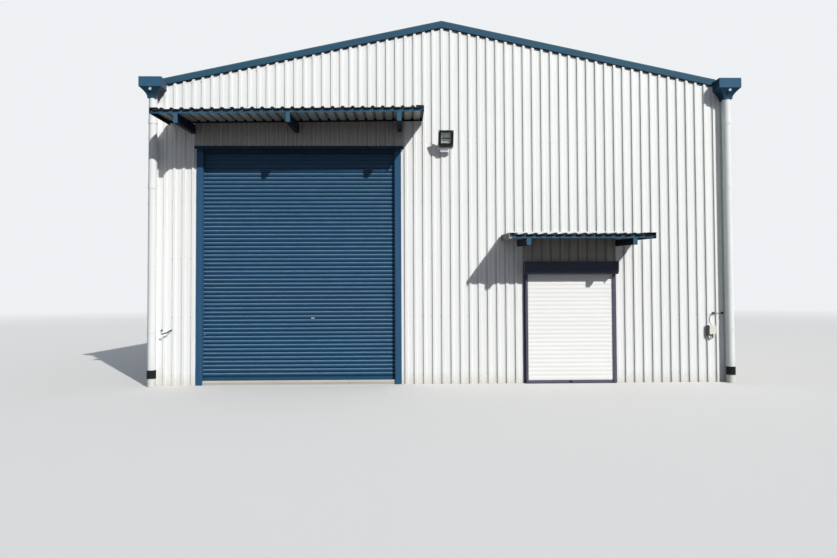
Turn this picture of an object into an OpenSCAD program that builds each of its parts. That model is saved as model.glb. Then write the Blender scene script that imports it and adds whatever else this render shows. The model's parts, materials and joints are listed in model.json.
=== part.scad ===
// Gabled industrial unit, one of a row, with two roller shutters and two canopies.
// Millimetres. X runs along the front from left to right, Y into the building, Z up.
// The origin is at ground level in the middle of the plan. The front faces -Y.

/* [Building] */
// Width of the unit, from one valley line to the other
bay_w = 10655; // [10400:1:11800]
// Length of the unit, from the front girt line to the rear one
depth = 15000; // [9000:50:24000]
// Height of the ridge at the top of the barge flashing
apex_h = 6800; // [6700:10:7600]
// Slope of the roof, in degrees
roof_pitch = 12; // [10:0.5:13]
// Thickness of each masonry party wall
party_wall_t = 220; // [110:5:330]
// Height of the floor slab above the ground
slab_h = 75; // [30:5:110]

/* [Ribbed sheeting] */
// Distance from rib to rib
rib_pitch = 171.5; // [150:0.5:200]
// Height of a rib above the flat pan
rib_h = 25; // [15:1:45]
// Width of the flat top of a rib
rib_crown = 38; // [20:1:50]
// Width of a rib at its foot
rib_base = 66; // [56:1:90]
// Thickness of the sheet
sheet_t = 3; // [1.5:0.5:4]
// Width of a rooflight, counted in ribs
rooflight_ribs = 4; // [2:1:8]

/* [Steel frame] */
// Bays between the portal frames
frame_bays = 3; // [2:1:5]
// Depth of a column, across the building
column_d = 254; // [152:1:305]
// Flange width of the columns and rafters
flange_w = 146; // [100:1:170]
// Depth of a rafter
rafter_d = 203; // [152:1:254]
// Thickness of the flanges of the columns and rafters
flange_t = 11; // [6:1:16]
// Thickness of their webs
web_t = 7; // [5:1:12]
// Thickness of the base plates under the columns
base_plate_t = 20; // [10:1:30]
// Depth of the roof purlins
purlin_d = 150; // [100:5:175]
// Purlins on each slope
purlin_count = 5; // [4:1:7]
// Depth of the wall girts and door posts
girt_d = 150; // [100:5:175]
// Flange width of the purlins, girts and door posts
channel_w = 65; // [50:1:75]
// Thickness of the purlins, girts and door posts
channel_t = 4; // [2.5:0.5:6]
// Height of the lowest girt
girt_z = 180; // [160:5:260]
// Distance from one girt to the next
girt_pitch = 1065; // [1050:5:1075]

/* [Flashings] */
// Thickness of the flashings
flashing_t = 3; // [1.5:0.5:4]
// Height of the barge flashing's face
barge_face = 124; // [90:1:180]
// Width of the barge flashing on the roof
barge_top = 150; // [100:5:250]
// Distance from the wall's ribs to the barge flashing's face
barge_gap = 5; // [5:1:30]
// Width of the ridge capping on each slope
ridge_leg = 230; // [150:5:300]

/* [Rainwater goods] */
// Width of the valley gutter
gutter_w = 300; // [240:5:360]
// Depth of the valley gutter
gutter_d = 130; // [100:5:135]
// Overhang of the roof sheets past the gutter's edge
eaves_overhang = 60; // [30:5:80]
// Width of a rainwater head
head_w = 410; // [370:5:440]
// Height of a rainwater head's box
head_h = 178; // [150:1:200]
// Projection of a rainwater head from the wall's ribs
head_out = 280; // [240:5:320]
// Height of the funnel under the box
funnel_h = 185; // [150:5:260]
// Diameter of the overflow hole in a rainwater head
overflow_d = 60; // [30:5:80]
// Outer diameter of a downpipe
pipe_d = 150; // [110:5:180]
// Wall of a downpipe
pipe_wall = 4; // [3:0.5:6]
// Distance from the wall's ribs to a downpipe
pipe_gap = 32; // [15:1:40]

/* [Main door] */
// Middle of the main door, from the middle of the front
main_door_x = -2667; // [-2760:1:-2600]
// Clear width between the jamb flashings
main_door_w = 3552; // [3000:1:3660]
// Height of the lintel's underside above the ground
main_door_h = 4300; // [4250:5:4340]
// Height of the lintel that shows under the head flashing
lintel_face = 75; // [40:5:90]
// Width of the shutter guides
main_guide_w = 100; // [85:1:110]
// Width of the jamb flashings' faces
jamb_face = 118; // [111:1:130]
// Height of the head flashing's face
head_face = 56; // [40:1:80]
// Reach of the head flashing past each jamb flashing
head_reach = 38; // [10:1:60]
// Radius of the curtain coiled on its barrel
main_coil_r = 140; // [110:5:180]

/* [Side door] */
// Middle of the side door, from the middle of the front
side_door_x = 2366; // [2300:1:2420]
// Clear width between the guides
side_door_w = 1585; // [1200:1:1640]
// Underside of the hood above the ground
side_hood_z = 2020; // [1980:5:2060]
// Width of the shutter guides
side_guide_w = 76; // [70:1:90]
// Width of the flange that fixes a guide to the wall's ribs
side_flange_w = 36; // [25:1:40]
// Depth of the shutter guides, out from the wall's ribs
side_guide_d = 57; // [50:1:70]
// Height of the hood
hood_h = 235; // [220:5:250]
// Depth of the hood, out from the wall's ribs
hood_d = 200; // [190:5:260]
// Radius of the hood's rounded lower edge
hood_nose = 80; // [40:5:100]
// Radius of the curtain coiled in the hood
side_coil_r = 62; // [50:1:64]

/* [Shutter slats] */
// Height of one slat
slat_pitch = 76; // [60:1:100]
// Depth of a slat's curve in the main door
main_slat_bulge = 15; // [6:1:17]
// Depth of a slat's curve in the side door
side_slat_bulge = 3; // [2:0.5:8]
// Thickness of a slat
slat_t = 2.5; // [1.5:0.5:4]
// Height of the joint between two slats
slat_joint = 12; // [6:1:14]

/* [Canopies] */
// Projection of both canopies from the girt line
canopy_out = 1045; // [800:5:1300]
// Fall of both canopies towards their front edge, in degrees
canopy_fall = 3; // [1:0.5:6]
// Middle of the main canopy, from the middle of the front
main_canopy_x = -2710; // [-2740:1:-2680]
// Width of the main canopy
main_canopy_w = 4674; // [4200:1:4700]
// Height of a canopy's front edge above the head flashing or hood under it
canopy_rise = 417; // [380:1:460]
// Lean of the main canopy, its left end lower, in degrees
main_canopy_lean = 0.6; // [0:0.1:1]
// Beams under the main canopy
main_beam_count = 3; // [2:1:5]
// Distance from one beam of the main canopy to the next
main_beam_pitch = 1915; // [900:5:1980]
// Middle of the side canopy, from the middle of the front
side_canopy_x = 2352; // [2300:1:2400]
// Width of the side canopy
side_canopy_w = 2526; // [2200:1:2700]
// Distance between the two beams of the side canopy
side_beam_pitch = 1845; // [1200:5:1900]
// Distance from a canopy's right edge to its first rib
canopy_first_rib = 18; // [5:1:60]
// Width of the verge flashing on a canopy's ribs
verge_top = 130; // [80:5:180]
// Height of the verge flashing's side
verge_side = 98; // [70:1:140]
// Legs of the angle along the front of a canopy, under its sheet
canopy_angle = 62; // [40:1:80]
// Legs of the angle along the wall, under a canopy's sheet
wall_angle = 25; // [20:1:40]
// Thickness of those angles
canopy_angle_t = 4; // [3:0.5:8]
// Width of each leg of the apron flashing between a canopy and the wall
apron_leg = 70; // [40:5:120]
// Distance from the sheet's front edge to the front angle
canopy_lip = 50; // [20:5:90]
// Depth of the main canopy's beams
main_beam_d = 160; // [120:5:180]
// Depth of the side canopy's beams
side_beam_d = 115; // [90:5:150]
// Width of the canopy beams
beam_w = 75; // [50:1:100]
// Wall of the canopy beams and their end plates
beam_t = 6; // [4:0.5:10]

/* [Wall fittings] */
// Middle of the floodlight, from the middle of the front
flood_x = 54; // [0:1:120]
// Middle of the floodlight above the ground
flood_z = 4525; // [4350:5:4650]
// Width of the floodlight
flood_w = 280; // [240:5:320]
// Height of the floodlight
flood_h = 300; // [280:5:340]
// Depth of the floodlight's housing behind its frame
flood_d = 60; // [50:5:80]
// Downward tilt of the floodlight, in degrees
flood_tilt = 26; // [0:1:30]
// Distance from the wall's ribs to the floodlight's pivot
flood_out = 211; // [200:1:260]
// Width of the floodlight's glass
flood_glass_w = 176; // [140:1:190]
// Height of the floodlight's glass
flood_glass_h = 195; // [150:5:210]
// Ribs between the isolator box and the downpipe
isolator_ribs = 2; // [2:1:6]
// Middle of the isolator box above the ground
isolator_z = 977; // [700:1:1400]
// Width of the isolator box
isolator_w = 121; // [90:1:126]
// Height of the isolator box
isolator_h = 165; // [120:1:200]
// Depth of the isolator box
isolator_d = 46; // [40:1:90]
// Width of the switch housing on the left of the isolator box
switch_w = 47; // [30:1:60]
// Diameter of the isolator's cable
cable_d = 14; // [8:1:16]
// Distance that the cable bows out to the left of the box
cable_bow = 45; // [20:1:60]
// Height of the bow above the box
cable_rise = 210; // [160:5:260]
// Rib to the right of the wall hook, counted from the middle of the front
hook_rib = -29; // [-29:1:-28]
// Height of the wall hook above the ground
hook_z = 1019; // [600:1:1500]
// Distance that the wall hook's tip is to the left of its foot
hook_reach = 140; // [100:5:160]
// Drop of the wall hook's lowest point below its foot
hook_drop = 65; // [30:1:100]
// Distance that the wall hook stands out from the wall's ribs
hook_out = 120; // [80:5:200]
// Diameter of the wall hook's bar
hook_d = 20; // [12:1:26]

/* [Hidden] */
$fn = 48;
half_w = bay_w / 2;
half_d = depth / 2;
wall_in = half_w - party_wall_t / 2;
wall_out = half_w + party_wall_t / 2;
slope = tan(roof_pitch);
crown_y = rib_h + sheet_t;
face_y = crown_y + flashing_t;
ridge_z = apex_h - (crown_y + flashing_t) / cos(roof_pitch);
running_gap = 0.3;
sheet_grow = sheet_t * tan(atan2(rib_h, (rib_base - rib_crown) / 2) / 2);

gutter_in = half_w - gutter_w / 2;
gutter_clear = 8;
gutter_z = roof_z(gutter_in, 0) - gutter_clear - gutter_d;
sheet_len = (gutter_in + eaves_overhang) / cos(roof_pitch);
head_rise = 111;
head_top = gutter_z + head_rise;
head_z = head_top - head_h;
pipe_y = crown_y + pipe_gap + pipe_d / 2;
pipe_joints = [3700, 4900];
pipe_clips = [1000, 2200, 3350, 4550];
boot_z = [150, 300];

column_in = wall_in - column_d;
frame_y0 = -half_d + girt_d + flange_w / 2;
frame_step = (depth - 2 * girt_d - flange_w) / frame_bays;
girt_rows = floor((roof_z(0, -purlin_d) - girt_z - channel_w) / girt_pitch) + 1;

main_open = main_door_w / 2 + main_guide_w;
head_flashing_z = main_door_h + lintel_face;
main_canopy_z = head_flashing_z + head_face + canopy_rise;
lintel_t = 22;
lintel_h = 140;
guide_t = 5;
main_guide_d = 72;
main_guide_y = 30;
main_slat_y = main_guide_y + main_guide_d / 2;
rail_h = 70;
rail_t = 30;
rail_clear = 4;
rail_lip = 6;
rail_foot = 10;
guide_grip = 75;
coil_clear = 2;
bracket_plate_t = 10;
bracket_plate_margin = 8;
main_slats = ceil((main_door_h + main_coil_r + 60 - slab_h - rail_h) / slat_pitch);
main_barrel_z = slab_h + rail_h + main_slats * slat_pitch;
main_barrel_y = main_slat_y + slat_t + coil_clear + main_coil_r;

side_open = side_door_w / 2 + 20;
side_open_h = side_hood_z + 60;
side_slat_y = -(crown_y + side_guide_d / 2 - side_slat_bulge / 2);
side_track_w = side_guide_w - side_flange_w;
side_grip = side_track_w - guide_t - running_gap;
side_rail_h = 62;
side_rail_t = 24;
side_barrel_y = side_slat_y - side_slat_bulge - coil_clear - side_coil_r;
side_barrel_z = side_hood_z + hood_h / 2;
side_slats = floor((side_barrel_z - side_rail_h) / slat_pitch);
side_canopy_z = side_hood_z + hood_h + canopy_rise;

isolator_rib = floor(half_w / rib_pitch) - isolator_ribs;
isolator_x = isolator_rib * rib_pitch + isolator_w / 2;

// Height of the plane that lies h above the purlins, at a distance x from the ridge
function roof_z(x, h) = ridge_z - abs(x) * slope + h / cos(roof_pitch);

// Height of the ribbed profile at x, for ribs counted from phase and widened by grow
function rib_line(x, phase, grow) =
    let (off = abs(x - phase - rib_pitch * round((x - phase) / rib_pitch)))
    off <= rib_crown / 2 + grow ? rib_h
    : off >= rib_base / 2 + grow ? 0
    : rib_h * (rib_base / 2 + grow - off) / ((rib_base - rib_crown) / 2);

// Corners of the ribbed profile between x0 and x1, raised by lift
function rib_points(x0, x1, phase, grow, lift) = concat(
    [[x0, rib_line(x0, phase, grow) + lift]],
    [for (k = [floor((x0 - phase) / rib_pitch) : ceil((x1 - phase) / rib_pitch)])
        for (b = [-rib_base / 2 - grow, -rib_crown / 2 - grow, rib_crown / 2 + grow, rib_base / 2 + grow])
            let (x = phase + k * rib_pitch + b)
            if (x > x0 + 0.5 && x < x1 - 0.5) [x, rib_line(x, phase, grow) + lift]],
    [[x1, rib_line(x1, phase, grow) + lift]]
);

function reversed(list) = [for (i = [len(list) - 1 : -1 : 0]) list[i]];

// Section of a ribbed sheet, flat side at y = 0 and ribs towards +Y
module rib_section(x0, x1, phase = 0) {
    polygon(concat(
        rib_points(x0, x1, phase, 0, 0),
        reversed(rib_points(x0, x1, phase, sheet_grow, sheet_t))
    ));
}

// Places its children on the front wall: x along it, -y outwards from the girt line
module at_front() {
    translate([0, -half_d, 0])
        children();
}

module at_rear() {
    rotate([0, 0, 180])
        at_front()
            children();
}

// Puts a copy on the other side of the ridge
module both_sides() {
    children();
    mirror([1, 0, 0])
        children();
}

// Local frame of a slope: x down it from the ridge, z out of it from the purlins
module on_slope(side) {
    mirror([side < 0 ? 1 : 0, 0, 0])
        translate([0, 0, ridge_z])
            rotate([0, roof_pitch, 0])
                children();
}

// Extrudes a drawing of a vertical plane across the building along Y
module along_y(y0, y1) {
    translate([0, y1, 0])
        rotate([90, 0, 0])
            linear_extrude(height = y1 - y0)
                children();
}

// Extrudes a drawing of y and z along X
module along_x(x0, x1) {
    translate([x0, 0, 0])
        rotate([90, 0, 90])
            linear_extrude(height = x1 - x0)
                children();
}

module box(low, high) {
    translate(low)
        cube(high - low);
}

module i_section(d, w) {
    for (end = [-1, 1])
        translate([end * (d - flange_t) / 2, 0])
            square([flange_t, w], center = true);
    square([d - flange_t, web_t], center = true);
}

// Channel section, its web on the left and its depth along y
module channel_section(w, d, t) {
    difference() {
        square([w, d]);
        translate([t, t])
            square([w, d - 2 * t]);
    }
}

// Floor and party walls

module floor_slab() {
    color("darkgray")
        box([-wall_in, -half_d, 0], [wall_in, half_d, slab_h]);
}

module party_wall(side) {
    color("gainsboro")
        translate([side * half_w - party_wall_t / 2, -half_d, 0])
            cube([party_wall_t, depth, gutter_z]);
}

// Steel frame

module column() {
    plate_w = column_d;
    translate([wall_in - column_d / 2, 0, slab_h]) {
        linear_extrude(height = gutter_z - slab_h)
            i_section(column_d, flange_w);
        translate([-plate_w / 2, -flange_w / 2, 0])
            cube([plate_w, flange_w, base_plate_t]);
    }
}

module columns() {
    color("slategray")
        for (i = [0 : frame_bays])
            translate([0, frame_y0 + i * frame_step, 0])
                both_sides()
                    column();
}

module rafters(side) {
    top = -purlin_d;
    color("slategray")
        for (i = [0 : frame_bays])
            intersection() {
                on_slope(side)
                    translate([-rafter_d, frame_y0 + i * frame_step, top - rafter_d / 2])
                        rotate([0, 90, 0])
                            linear_extrude(height = half_w + 2 * rafter_d)
                                i_section(rafter_d, flange_w);
                mirror([side < 0 ? 1 : 0, 0, 0])
                    box([0, -half_d, slab_h], [column_in, half_d, apex_h]);
            }
}

module purlins(side) {
    first = 120;
    last = column_in / cos(roof_pitch) - channel_w - 20;
    color("silver")
        for (i = [0 : purlin_count - 1])
            on_slope(side)
                translate([first + i * (last - first) / (purlin_count - 1), half_d, -purlin_d])
                    rotate([90, 0, 0])
                        linear_extrude(height = depth)
                            channel_section(channel_w, purlin_d, channel_t);
}

// Half length of a girt whose top is at z: it stops at the party wall or under the roof
function girt_reach(z) =
    min(wall_in, (ridge_z - purlin_d / cos(roof_pitch) - z) / slope - 20);

// One girt between x0 and x1, its web below and its depth along y
module girt(x0, x1, z) {
    along_x(x0, x1)
        translate([girt_d, z - channel_w / 2])
            rotate(90)
                channel_section(channel_w, girt_d, channel_t);
}

function row_z(i) = girt_z + i * girt_pitch;

// Part of a row above a door, between its posts, where the row clears what is over the opening
function over_door(x, half, z, clear_z) =
    z - channel_w / 2 > clear_z ? [[x - half, x + half]] : [];

// Lengths of a row at height z between the party walls and the door posts, from left to right
function front_spans(z, reach) = concat(
    [[-reach, main_door_x - main_open - channel_w]],
    over_door(main_door_x, main_open, z, main_barrel_z + main_coil_r),
    [[main_door_x + main_open + channel_w, side_door_x - side_open - channel_w]],
    over_door(side_door_x, side_open, z, side_open_h + channel_w),
    [[side_door_x + side_open + channel_w, reach]]
);

module girts_front() {
    color("silver")
        at_front()
            for (i = [0 : girt_rows - 1]) {
                z = row_z(i);
                for (span = front_spans(z, girt_reach(z + channel_w / 2)))
                    girt(span[0], span[1], z);
            }
}

module girts_rear() {
    color("silver")
        at_rear()
            for (i = [0 : girt_rows - 1]) {
                z = row_z(i);
                reach = girt_reach(z + channel_w / 2);
                girt(-reach, reach, z);
            }
}

// Post beside a door: its web is on the door's side and it ends under the purlins
module door_post(x, side) {
    intersection() {
        translate([x, 0, slab_h])
            mirror([side < 0 ? 1 : 0, 0, 0])
                linear_extrude(height = apex_h)
                    channel_section(channel_w, girt_d, channel_t);
        along_y(0, girt_d)
            polygon([
                [-half_w, 0], [half_w, 0],
                [half_w, roof_z(half_w, -purlin_d)], [0, roof_z(0, -purlin_d)],
                [-half_w, roof_z(half_w, -purlin_d)]
            ]);
    }
}

module door_posts() {
    color("slategray")
        at_front() {
            for (side = [-1, 1]) {
                door_post(main_door_x + side * main_open, side);
                door_post(side_door_x + side * side_open, side);
            }
        }
}

module door_lintels() {
    color("slategray")
        at_front() {
            box([main_door_x - main_open, 0, main_door_h],
                [main_door_x + main_open, lintel_t, main_door_h + lintel_h]);
            translate([0, 0, side_open_h + channel_w / 2])
                girt(side_door_x - side_open, side_door_x + side_open, 0);
        }
}

// Ribbed walls

// Upright ribbed sheet from x0 to x1 and from z0 up to the roof
module wall_sheet(x0, x1, z0) {
    intersection() {
        translate([0, 0, z0])
            mirror([0, 1, 0])
                linear_extrude(height = apex_h)
                    rib_section(x0, x1);
        along_y(-crown_y - 1, 1)
            polygon([
                [-wall_out, 0], [wall_out, 0],
                [wall_out, gutter_z], [gutter_in - 1, gutter_z],
                [gutter_in - 1, roof_z(gutter_in - 1, 0)], [0, roof_z(0, 0)],
                [-gutter_in + 1, roof_z(gutter_in - 1, 0)],
                [-gutter_in + 1, gutter_z], [-wall_out, gutter_z]
            ]);
    }
}

module front_sheet(x0, x1, z0) {
    color("white")
        at_front()
            wall_sheet(x0, x1, z0);
}

module front_wall_left() {
    front_sheet(-wall_out, main_door_x - main_open, 0);
}

module front_wall_over_main_door() {
    front_sheet(main_door_x - main_open, main_door_x + main_open, head_flashing_z + head_face / 2);
}

module front_wall_centre() {
    front_sheet(main_door_x + main_open, side_door_x - side_open, 0);
}

module front_wall_over_side_door() {
    front_sheet(side_door_x - side_open, side_door_x + side_open, side_open_h);
}

module front_wall_right() {
    front_sheet(side_door_x + side_open, wall_out, 0);
}

module rear_wall() {
    color("white")
        at_rear()
            wall_sheet(-wall_out, wall_out, 0);
}

// Roof

ridge_slot = 30;
roof_edge = half_d + crown_y;

// Edges of the rooflights along Y, one rooflight in the middle of each bay, on rib crowns
function rooflight_mid(i) =
    rib_pitch * round((frame_y0 + (i + 0.5) * frame_step) / rib_pitch);
light_half = rooflight_ribs * rib_pitch / 2;

module roof_strip(side, y0, y1) {
    on_slope(side)
        translate([ridge_slot, 0, 0])
            along_x(0, sheet_len - ridge_slot)
                rib_section(y0, y1, rooflight_ribs % 2 == 0 ? 0 : rib_pitch / 2);
}

module roof_sheets(side) {
    edges = concat(
        [-roof_edge],
        [for (i = [0 : frame_bays - 1]) for (e = [-light_half, light_half]) rooflight_mid(i) + e],
        [roof_edge]
    );
    color("steelblue")
        for (k = [0 : 2 : len(edges) - 2])
            roof_strip(side, edges[k], edges[k + 1]);
}

module rooflights(side) {
    color("honeydew")
        for (i = [0 : frame_bays - 1])
            roof_strip(side, rooflight_mid(i) - light_half, rooflight_mid(i) + light_half);
}

barge_y = crown_y + barge_gap + flashing_t;

module ridge_capping() {
    reach = ridge_leg * cos(roof_pitch);
    top = crown_y + flashing_t;
    color("steelblue")
        along_y(-half_d - barge_y + barge_top, half_d + barge_y - barge_top)
            polygon([
                [-reach, roof_z(reach, crown_y)], [0, roof_z(0, crown_y)], [reach, roof_z(reach, crown_y)],
                [reach, roof_z(reach, top)], [0, roof_z(0, top)], [-reach, roof_z(reach, top)]
            ]);
}

// Band of one slope in elevation, between heights h0 and h1 above the purlins
module slope_band(x1, h0, h1) {
    polygon([
        [running_gap, roof_z(running_gap, h1)], [x1, roof_z(x1, h1)],
        [x1, roof_z(x1, h0)], [running_gap, roof_z(running_gap, h0)]
    ]);
}

// It runs to the gutter's edge and is cut out round the rainwater head
module barge_flashing() {
    top = crown_y + flashing_t;
    difference() {
        union() {
            along_y(-barge_y, -barge_y + flashing_t)
                slope_band(gutter_in, top - barge_face, top);
            along_y(-barge_y, -barge_y + barge_top)
                slope_band(gutter_in, crown_y, top);
            along_y(-barge_y, -crown_y)
                slope_band(gutter_in, top - barge_face, top - barge_face + flashing_t);
        }
        box([half_w - head_w / 2 - running_gap, -barge_y - 1, 0],
            [half_w, barge_top, head_top + running_gap]);
    }
}

module barge_flashings() {
    color("steelblue")
        both_sides()
            barge_flashing();
}

// Rainwater goods

module valley_gutters() {
    lip = roof_z(gutter_in, 0) - gutter_clear;
    color("steelblue")
        both_sides()
            along_y(-half_d - crown_y, half_d + crown_y)
                difference() {
                    translate([gutter_in, gutter_z])
                        square([gutter_w, lip - gutter_z]);
                    translate([gutter_in + flashing_t, gutter_z + flashing_t])
                        square([gutter_w - 2 * flashing_t, lip]);
                }
}

// Half width of the funnel at a share s of the way up: concave between pipe and box
function funnel_half(s, low, high) = low + (high - low) * (s < 0.15 ? 0 : pow((s - 0.15) / 0.85, 1.5));
funnel_steps = 6;
overflow_drop = 42;

// Elevation of a rainwater head with its walls drawn in by inset
module head_outline(half, inset, top) {
    low = pipe_d / 2 + 6 - inset;
    high = half - inset;
    share = [for (i = [0 : funnel_steps]) i / funnel_steps];
    points = concat(
        [for (s = share) [funnel_half(s, low, high), head_z - funnel_h + s * funnel_h]],
        [[high, top]]
    );
    polygon(concat(points, [for (p = reversed(points)) [-p[0], p[1]]]));
}

// Side view of a rainwater head: a flat back against the ribs and a front that tapers
module head_side(inset, top) {
    low = pipe_y + pipe_d / 2 + 6 - inset;
    high = crown_y + head_out - inset;
    share = [for (i = [0 : funnel_steps]) i / funnel_steps];
    front = [for (s = share) [-funnel_half(s, low, high), head_z - funnel_h + s * funnel_h]];
    polygon(concat(
        front,
        [[-high, top], [-crown_y - inset, top], [-crown_y - inset, head_z - funnel_h]]
    ));
}

module head_form(inset, top) {
    intersection() {
        along_y(-crown_y - head_out, -crown_y)
            head_outline(head_w / 2, inset, top);
        along_x(-head_w / 2, head_w / 2)
            head_side(inset, top);
    }
}

module rainwater_head() {
    difference() {
        head_form(0, head_top);
        head_form(flashing_t, head_top + 1);
        translate([-gutter_w / 2 - 1, -crown_y - flashing_t - 1, gutter_z])
            cube([gutter_w + 2, flashing_t + 2, head_h]);
        translate([0, -crown_y - head_out / 2, head_z - overflow_drop])
            rotate([90, 0, 0])
                cylinder(h = head_out, d = overflow_d);
        translate([0, -pipe_y, head_z - funnel_h - 1])
            cylinder(h = flashing_t + 2, d = pipe_d - 2 * pipe_wall);
    }
}

module rainwater_heads() {
    color("steelblue")
        for (side = [-1, 1])
            translate([side * half_w, 0, 0])
                rainwater_head();
}

module pipe_ring(z0, z1, d) {
    translate([0, 0, z0])
        cylinder(h = z1 - z0, d = d);
}

// Clip round the pipe with its foot on the rib behind
module pipe_clip(z) {
    clip_h = 40;
    pipe_ring(z - clip_h / 2, z + clip_h / 2, pipe_d + 8);
    translate([-rib_crown / 2, pipe_d / 4, z - clip_h / 2])
        cube([rib_crown, pipe_y - crown_y - pipe_d / 4, clip_h]);
}

module downpipe() {
    socket_h = 90;
    top = head_z - funnel_h;
    translate([0, -pipe_y, 0])
        difference() {
            union() {
                pipe_ring(0, top, pipe_d);
                for (z = pipe_joints)
                    pipe_ring(z - socket_h, z, pipe_d + 12);
                pipe_ring(boot_z[0], boot_z[1], pipe_d + 14);
                for (z = pipe_clips)
                    pipe_clip(z);
            }
            pipe_ring(-1, top + 1, pipe_d - 2 * pipe_wall);
        }
}

module downpipes() {
    color("whitesmoke")
        for (side = [-1, 1])
            translate([side * half_w, 0, 0])
                downpipe();
}

// Canopies

// Local frame of a canopy: origin at the front edge under the sheet, y back up to the wall
module on_canopy(x, z) {
    at_front()
        translate([x, -canopy_out, z])
            rotate([canopy_fall, 0, 0])
                children();
}

// Turns a canopy about its front edge's middle, so that its left end hangs lower
module leaning(x, z, lean) {
    translate([x, 0, z])
        rotate([0, -lean, 0])
            translate([-x, 0, -z])
                children();
}

canopy_len = (canopy_out - crown_y - 5) / cos(canopy_fall);

module canopy_sheet(x, z, w) {
    color("midnightblue")
        on_canopy(x, z)
            translate([0, canopy_len, 0])
                rotate([90, 0, 0])
                    linear_extrude(height = canopy_len)
                        rib_section(-w / 2, w / 2, w / 2 - canopy_first_rib);
}

// Angle along the canopy: a top leg under the sheet and a leg down at y
module canopy_angle_bar(w, y, leg, flip) {
    translate([0, y, -leg])
        mirror([0, flip ? 1 : 0, 0]) {
            box([-w / 2, 0, 0], [w / 2, canopy_angle_t, leg]);
            box([-w / 2, 0, leg - canopy_angle_t], [w / 2, leg, leg]);
        }
}

// Verge flashing at one end of a canopy: over the ribs and down the side
module verge_flashing(w, side) {
    inner = w / 2 + running_gap;
    mirror([side < 0 ? 1 : 0, 0, 0]) {
        box([w / 2 - verge_top, 0, crown_y], [inner + flashing_t, canopy_len, crown_y + flashing_t]);
        box([inner, 0, crown_y - verge_side], [inner + flashing_t, canopy_len, crown_y + flashing_t]);
    }
}

// Apron flashing between the verges: one leg over the sheet's ribs, one up the wall's ribs
module apron_flashing(x, z, w) {
    reach = w / 2 - verge_top - running_gap;
    root_z = z + (canopy_out - crown_y) * tan(canopy_fall) + crown_y / cos(canopy_fall);
    intersection() {
        on_canopy(x, z)
            box([-reach, canopy_len - apron_leg, crown_y], [reach, canopy_out, crown_y + flashing_t]);
        at_front()
            box([x - w, -canopy_out, 0], [x + w, -crown_y, apex_h]);
    }
    at_front()
        box([x - reach, -crown_y - flashing_t, root_z], [x + reach, -crown_y, root_z + apron_leg]);
}

module canopy_flashings(x, z, w) {
    color("steelblue") {
        on_canopy(x, z) {
            canopy_angle_bar(w, canopy_lip, canopy_angle, false);
            canopy_angle_bar(w, canopy_len, wall_angle, true);
            for (side = [-1, 1])
                verge_flashing(w, side);
        }
        apron_flashing(x, z, w);
    }
}

// Hollow cantilever beam of depth d under the front angle, capped there, with a plate on the ribs
module canopy_beam(x, z, d) {
    plate_lip = 4;
    plate_w = beam_w + 2 * plate_lip;
    back = canopy_out - crown_y;
    root_z = z + back * tan(canopy_fall) - canopy_angle - d;
    intersection() {
        on_canopy(x, z)
            difference() {
                box([-beam_w / 2, canopy_lip, -canopy_angle - d],
                    [beam_w / 2, canopy_out, -canopy_angle]);
                box([beam_t - beam_w / 2, canopy_lip + beam_t, beam_t - canopy_angle - d],
                    [beam_w / 2 - beam_t, canopy_out + 1, -canopy_angle - beam_t]);
            }
        at_front()
            box([x - beam_w, -canopy_out, 0], [x + beam_w, -crown_y - beam_t / 2, apex_h]);
    }
    at_front()
        box([x - plate_w / 2, -crown_y - beam_t, root_z - plate_lip],
            [x + plate_w / 2, -crown_y, root_z + d + plate_lip]);
}

module canopy_beams(x, z, count, pitch, d) {
    color("steelblue")
        for (i = [0 : count - 1])
            canopy_beam(x + (i - (count - 1) / 2) * pitch, z, d);
}

// Shutters

// Line of the curtain in the plane of y and z: an arc on each slat and a joint between
slat_chord = slat_pitch - slat_joint;
slat_steps = 6;
function slat_radius(bulge) = (slat_chord * slat_chord / 4 + bulge * bulge) / (2 * bulge);
function slat_line(z0, count, bulge, back) =
    let (r = slat_radius(bulge), end = asin(slat_chord / 2 / r))
    [
        for (i = [0 : count - 1])
            for (j = [0 : slat_steps])
                let (a = end * (2 * j / slat_steps - 1))
                [r * cos(end) - r * cos(a) + back,
                 z0 + (i + 0.5) * slat_pitch + r * sin(a)]
    ];

// Curtain of slats that curve towards -y, with its joints on the line y = 0
module slat_curtain(w, z0, count, bulge) {
    top = z0 + count * slat_pitch;
    along_x(-w / 2, w / 2)
        polygon(concat(
            [[0, z0]], slat_line(z0, count, bulge, 0), [[0, top], [slat_t, top]],
            reversed(slat_line(z0, count, bulge, slat_t)), [[slat_t, z0]]
        ));
}

// Bottom rail between the guides: a bar of thickness t on a foot with a lip on each side
module bottom_rail(door_w, z0, h, t) {
    along_x(rail_clear - door_w / 2, door_w / 2 - rail_clear)
        translate([slat_t / 2, z0]) {
            translate([-t / 2, 0])
                square([t, h]);
            translate([-t / 2 - rail_lip, 0])
                square([t + 2 * rail_lip, rail_foot]);
        }
}

module main_shutter_curtain() {
    color("steelblue")
        at_front()
            translate([main_door_x, main_slat_y, 0]) {
                slat_curtain(main_door_w + 2 * guide_grip, slab_h + rail_h, main_slats, main_slat_bulge);
                bottom_rail(main_door_w, slab_h, rail_h, rail_t);
            }
}

// Guide channel of a shutter, open towards the door, its back against x = 0
module guide_section(w, d) {
    difference() {
        translate([-w, 0])
            square([w, d]);
        translate([-w - 1, guide_t])
            square([w - guide_t + 1, d - 2 * guide_t]);
    }
}

module main_shutter_guides() {
    color("slategray")
        at_front()
            translate([main_door_x, main_guide_y, slab_h])
                both_sides()
                    translate([main_open, 0, 0])
                        linear_extrude(height = main_door_h - slab_h - 5)
                            guide_section(main_guide_w, main_guide_d);
}

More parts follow.
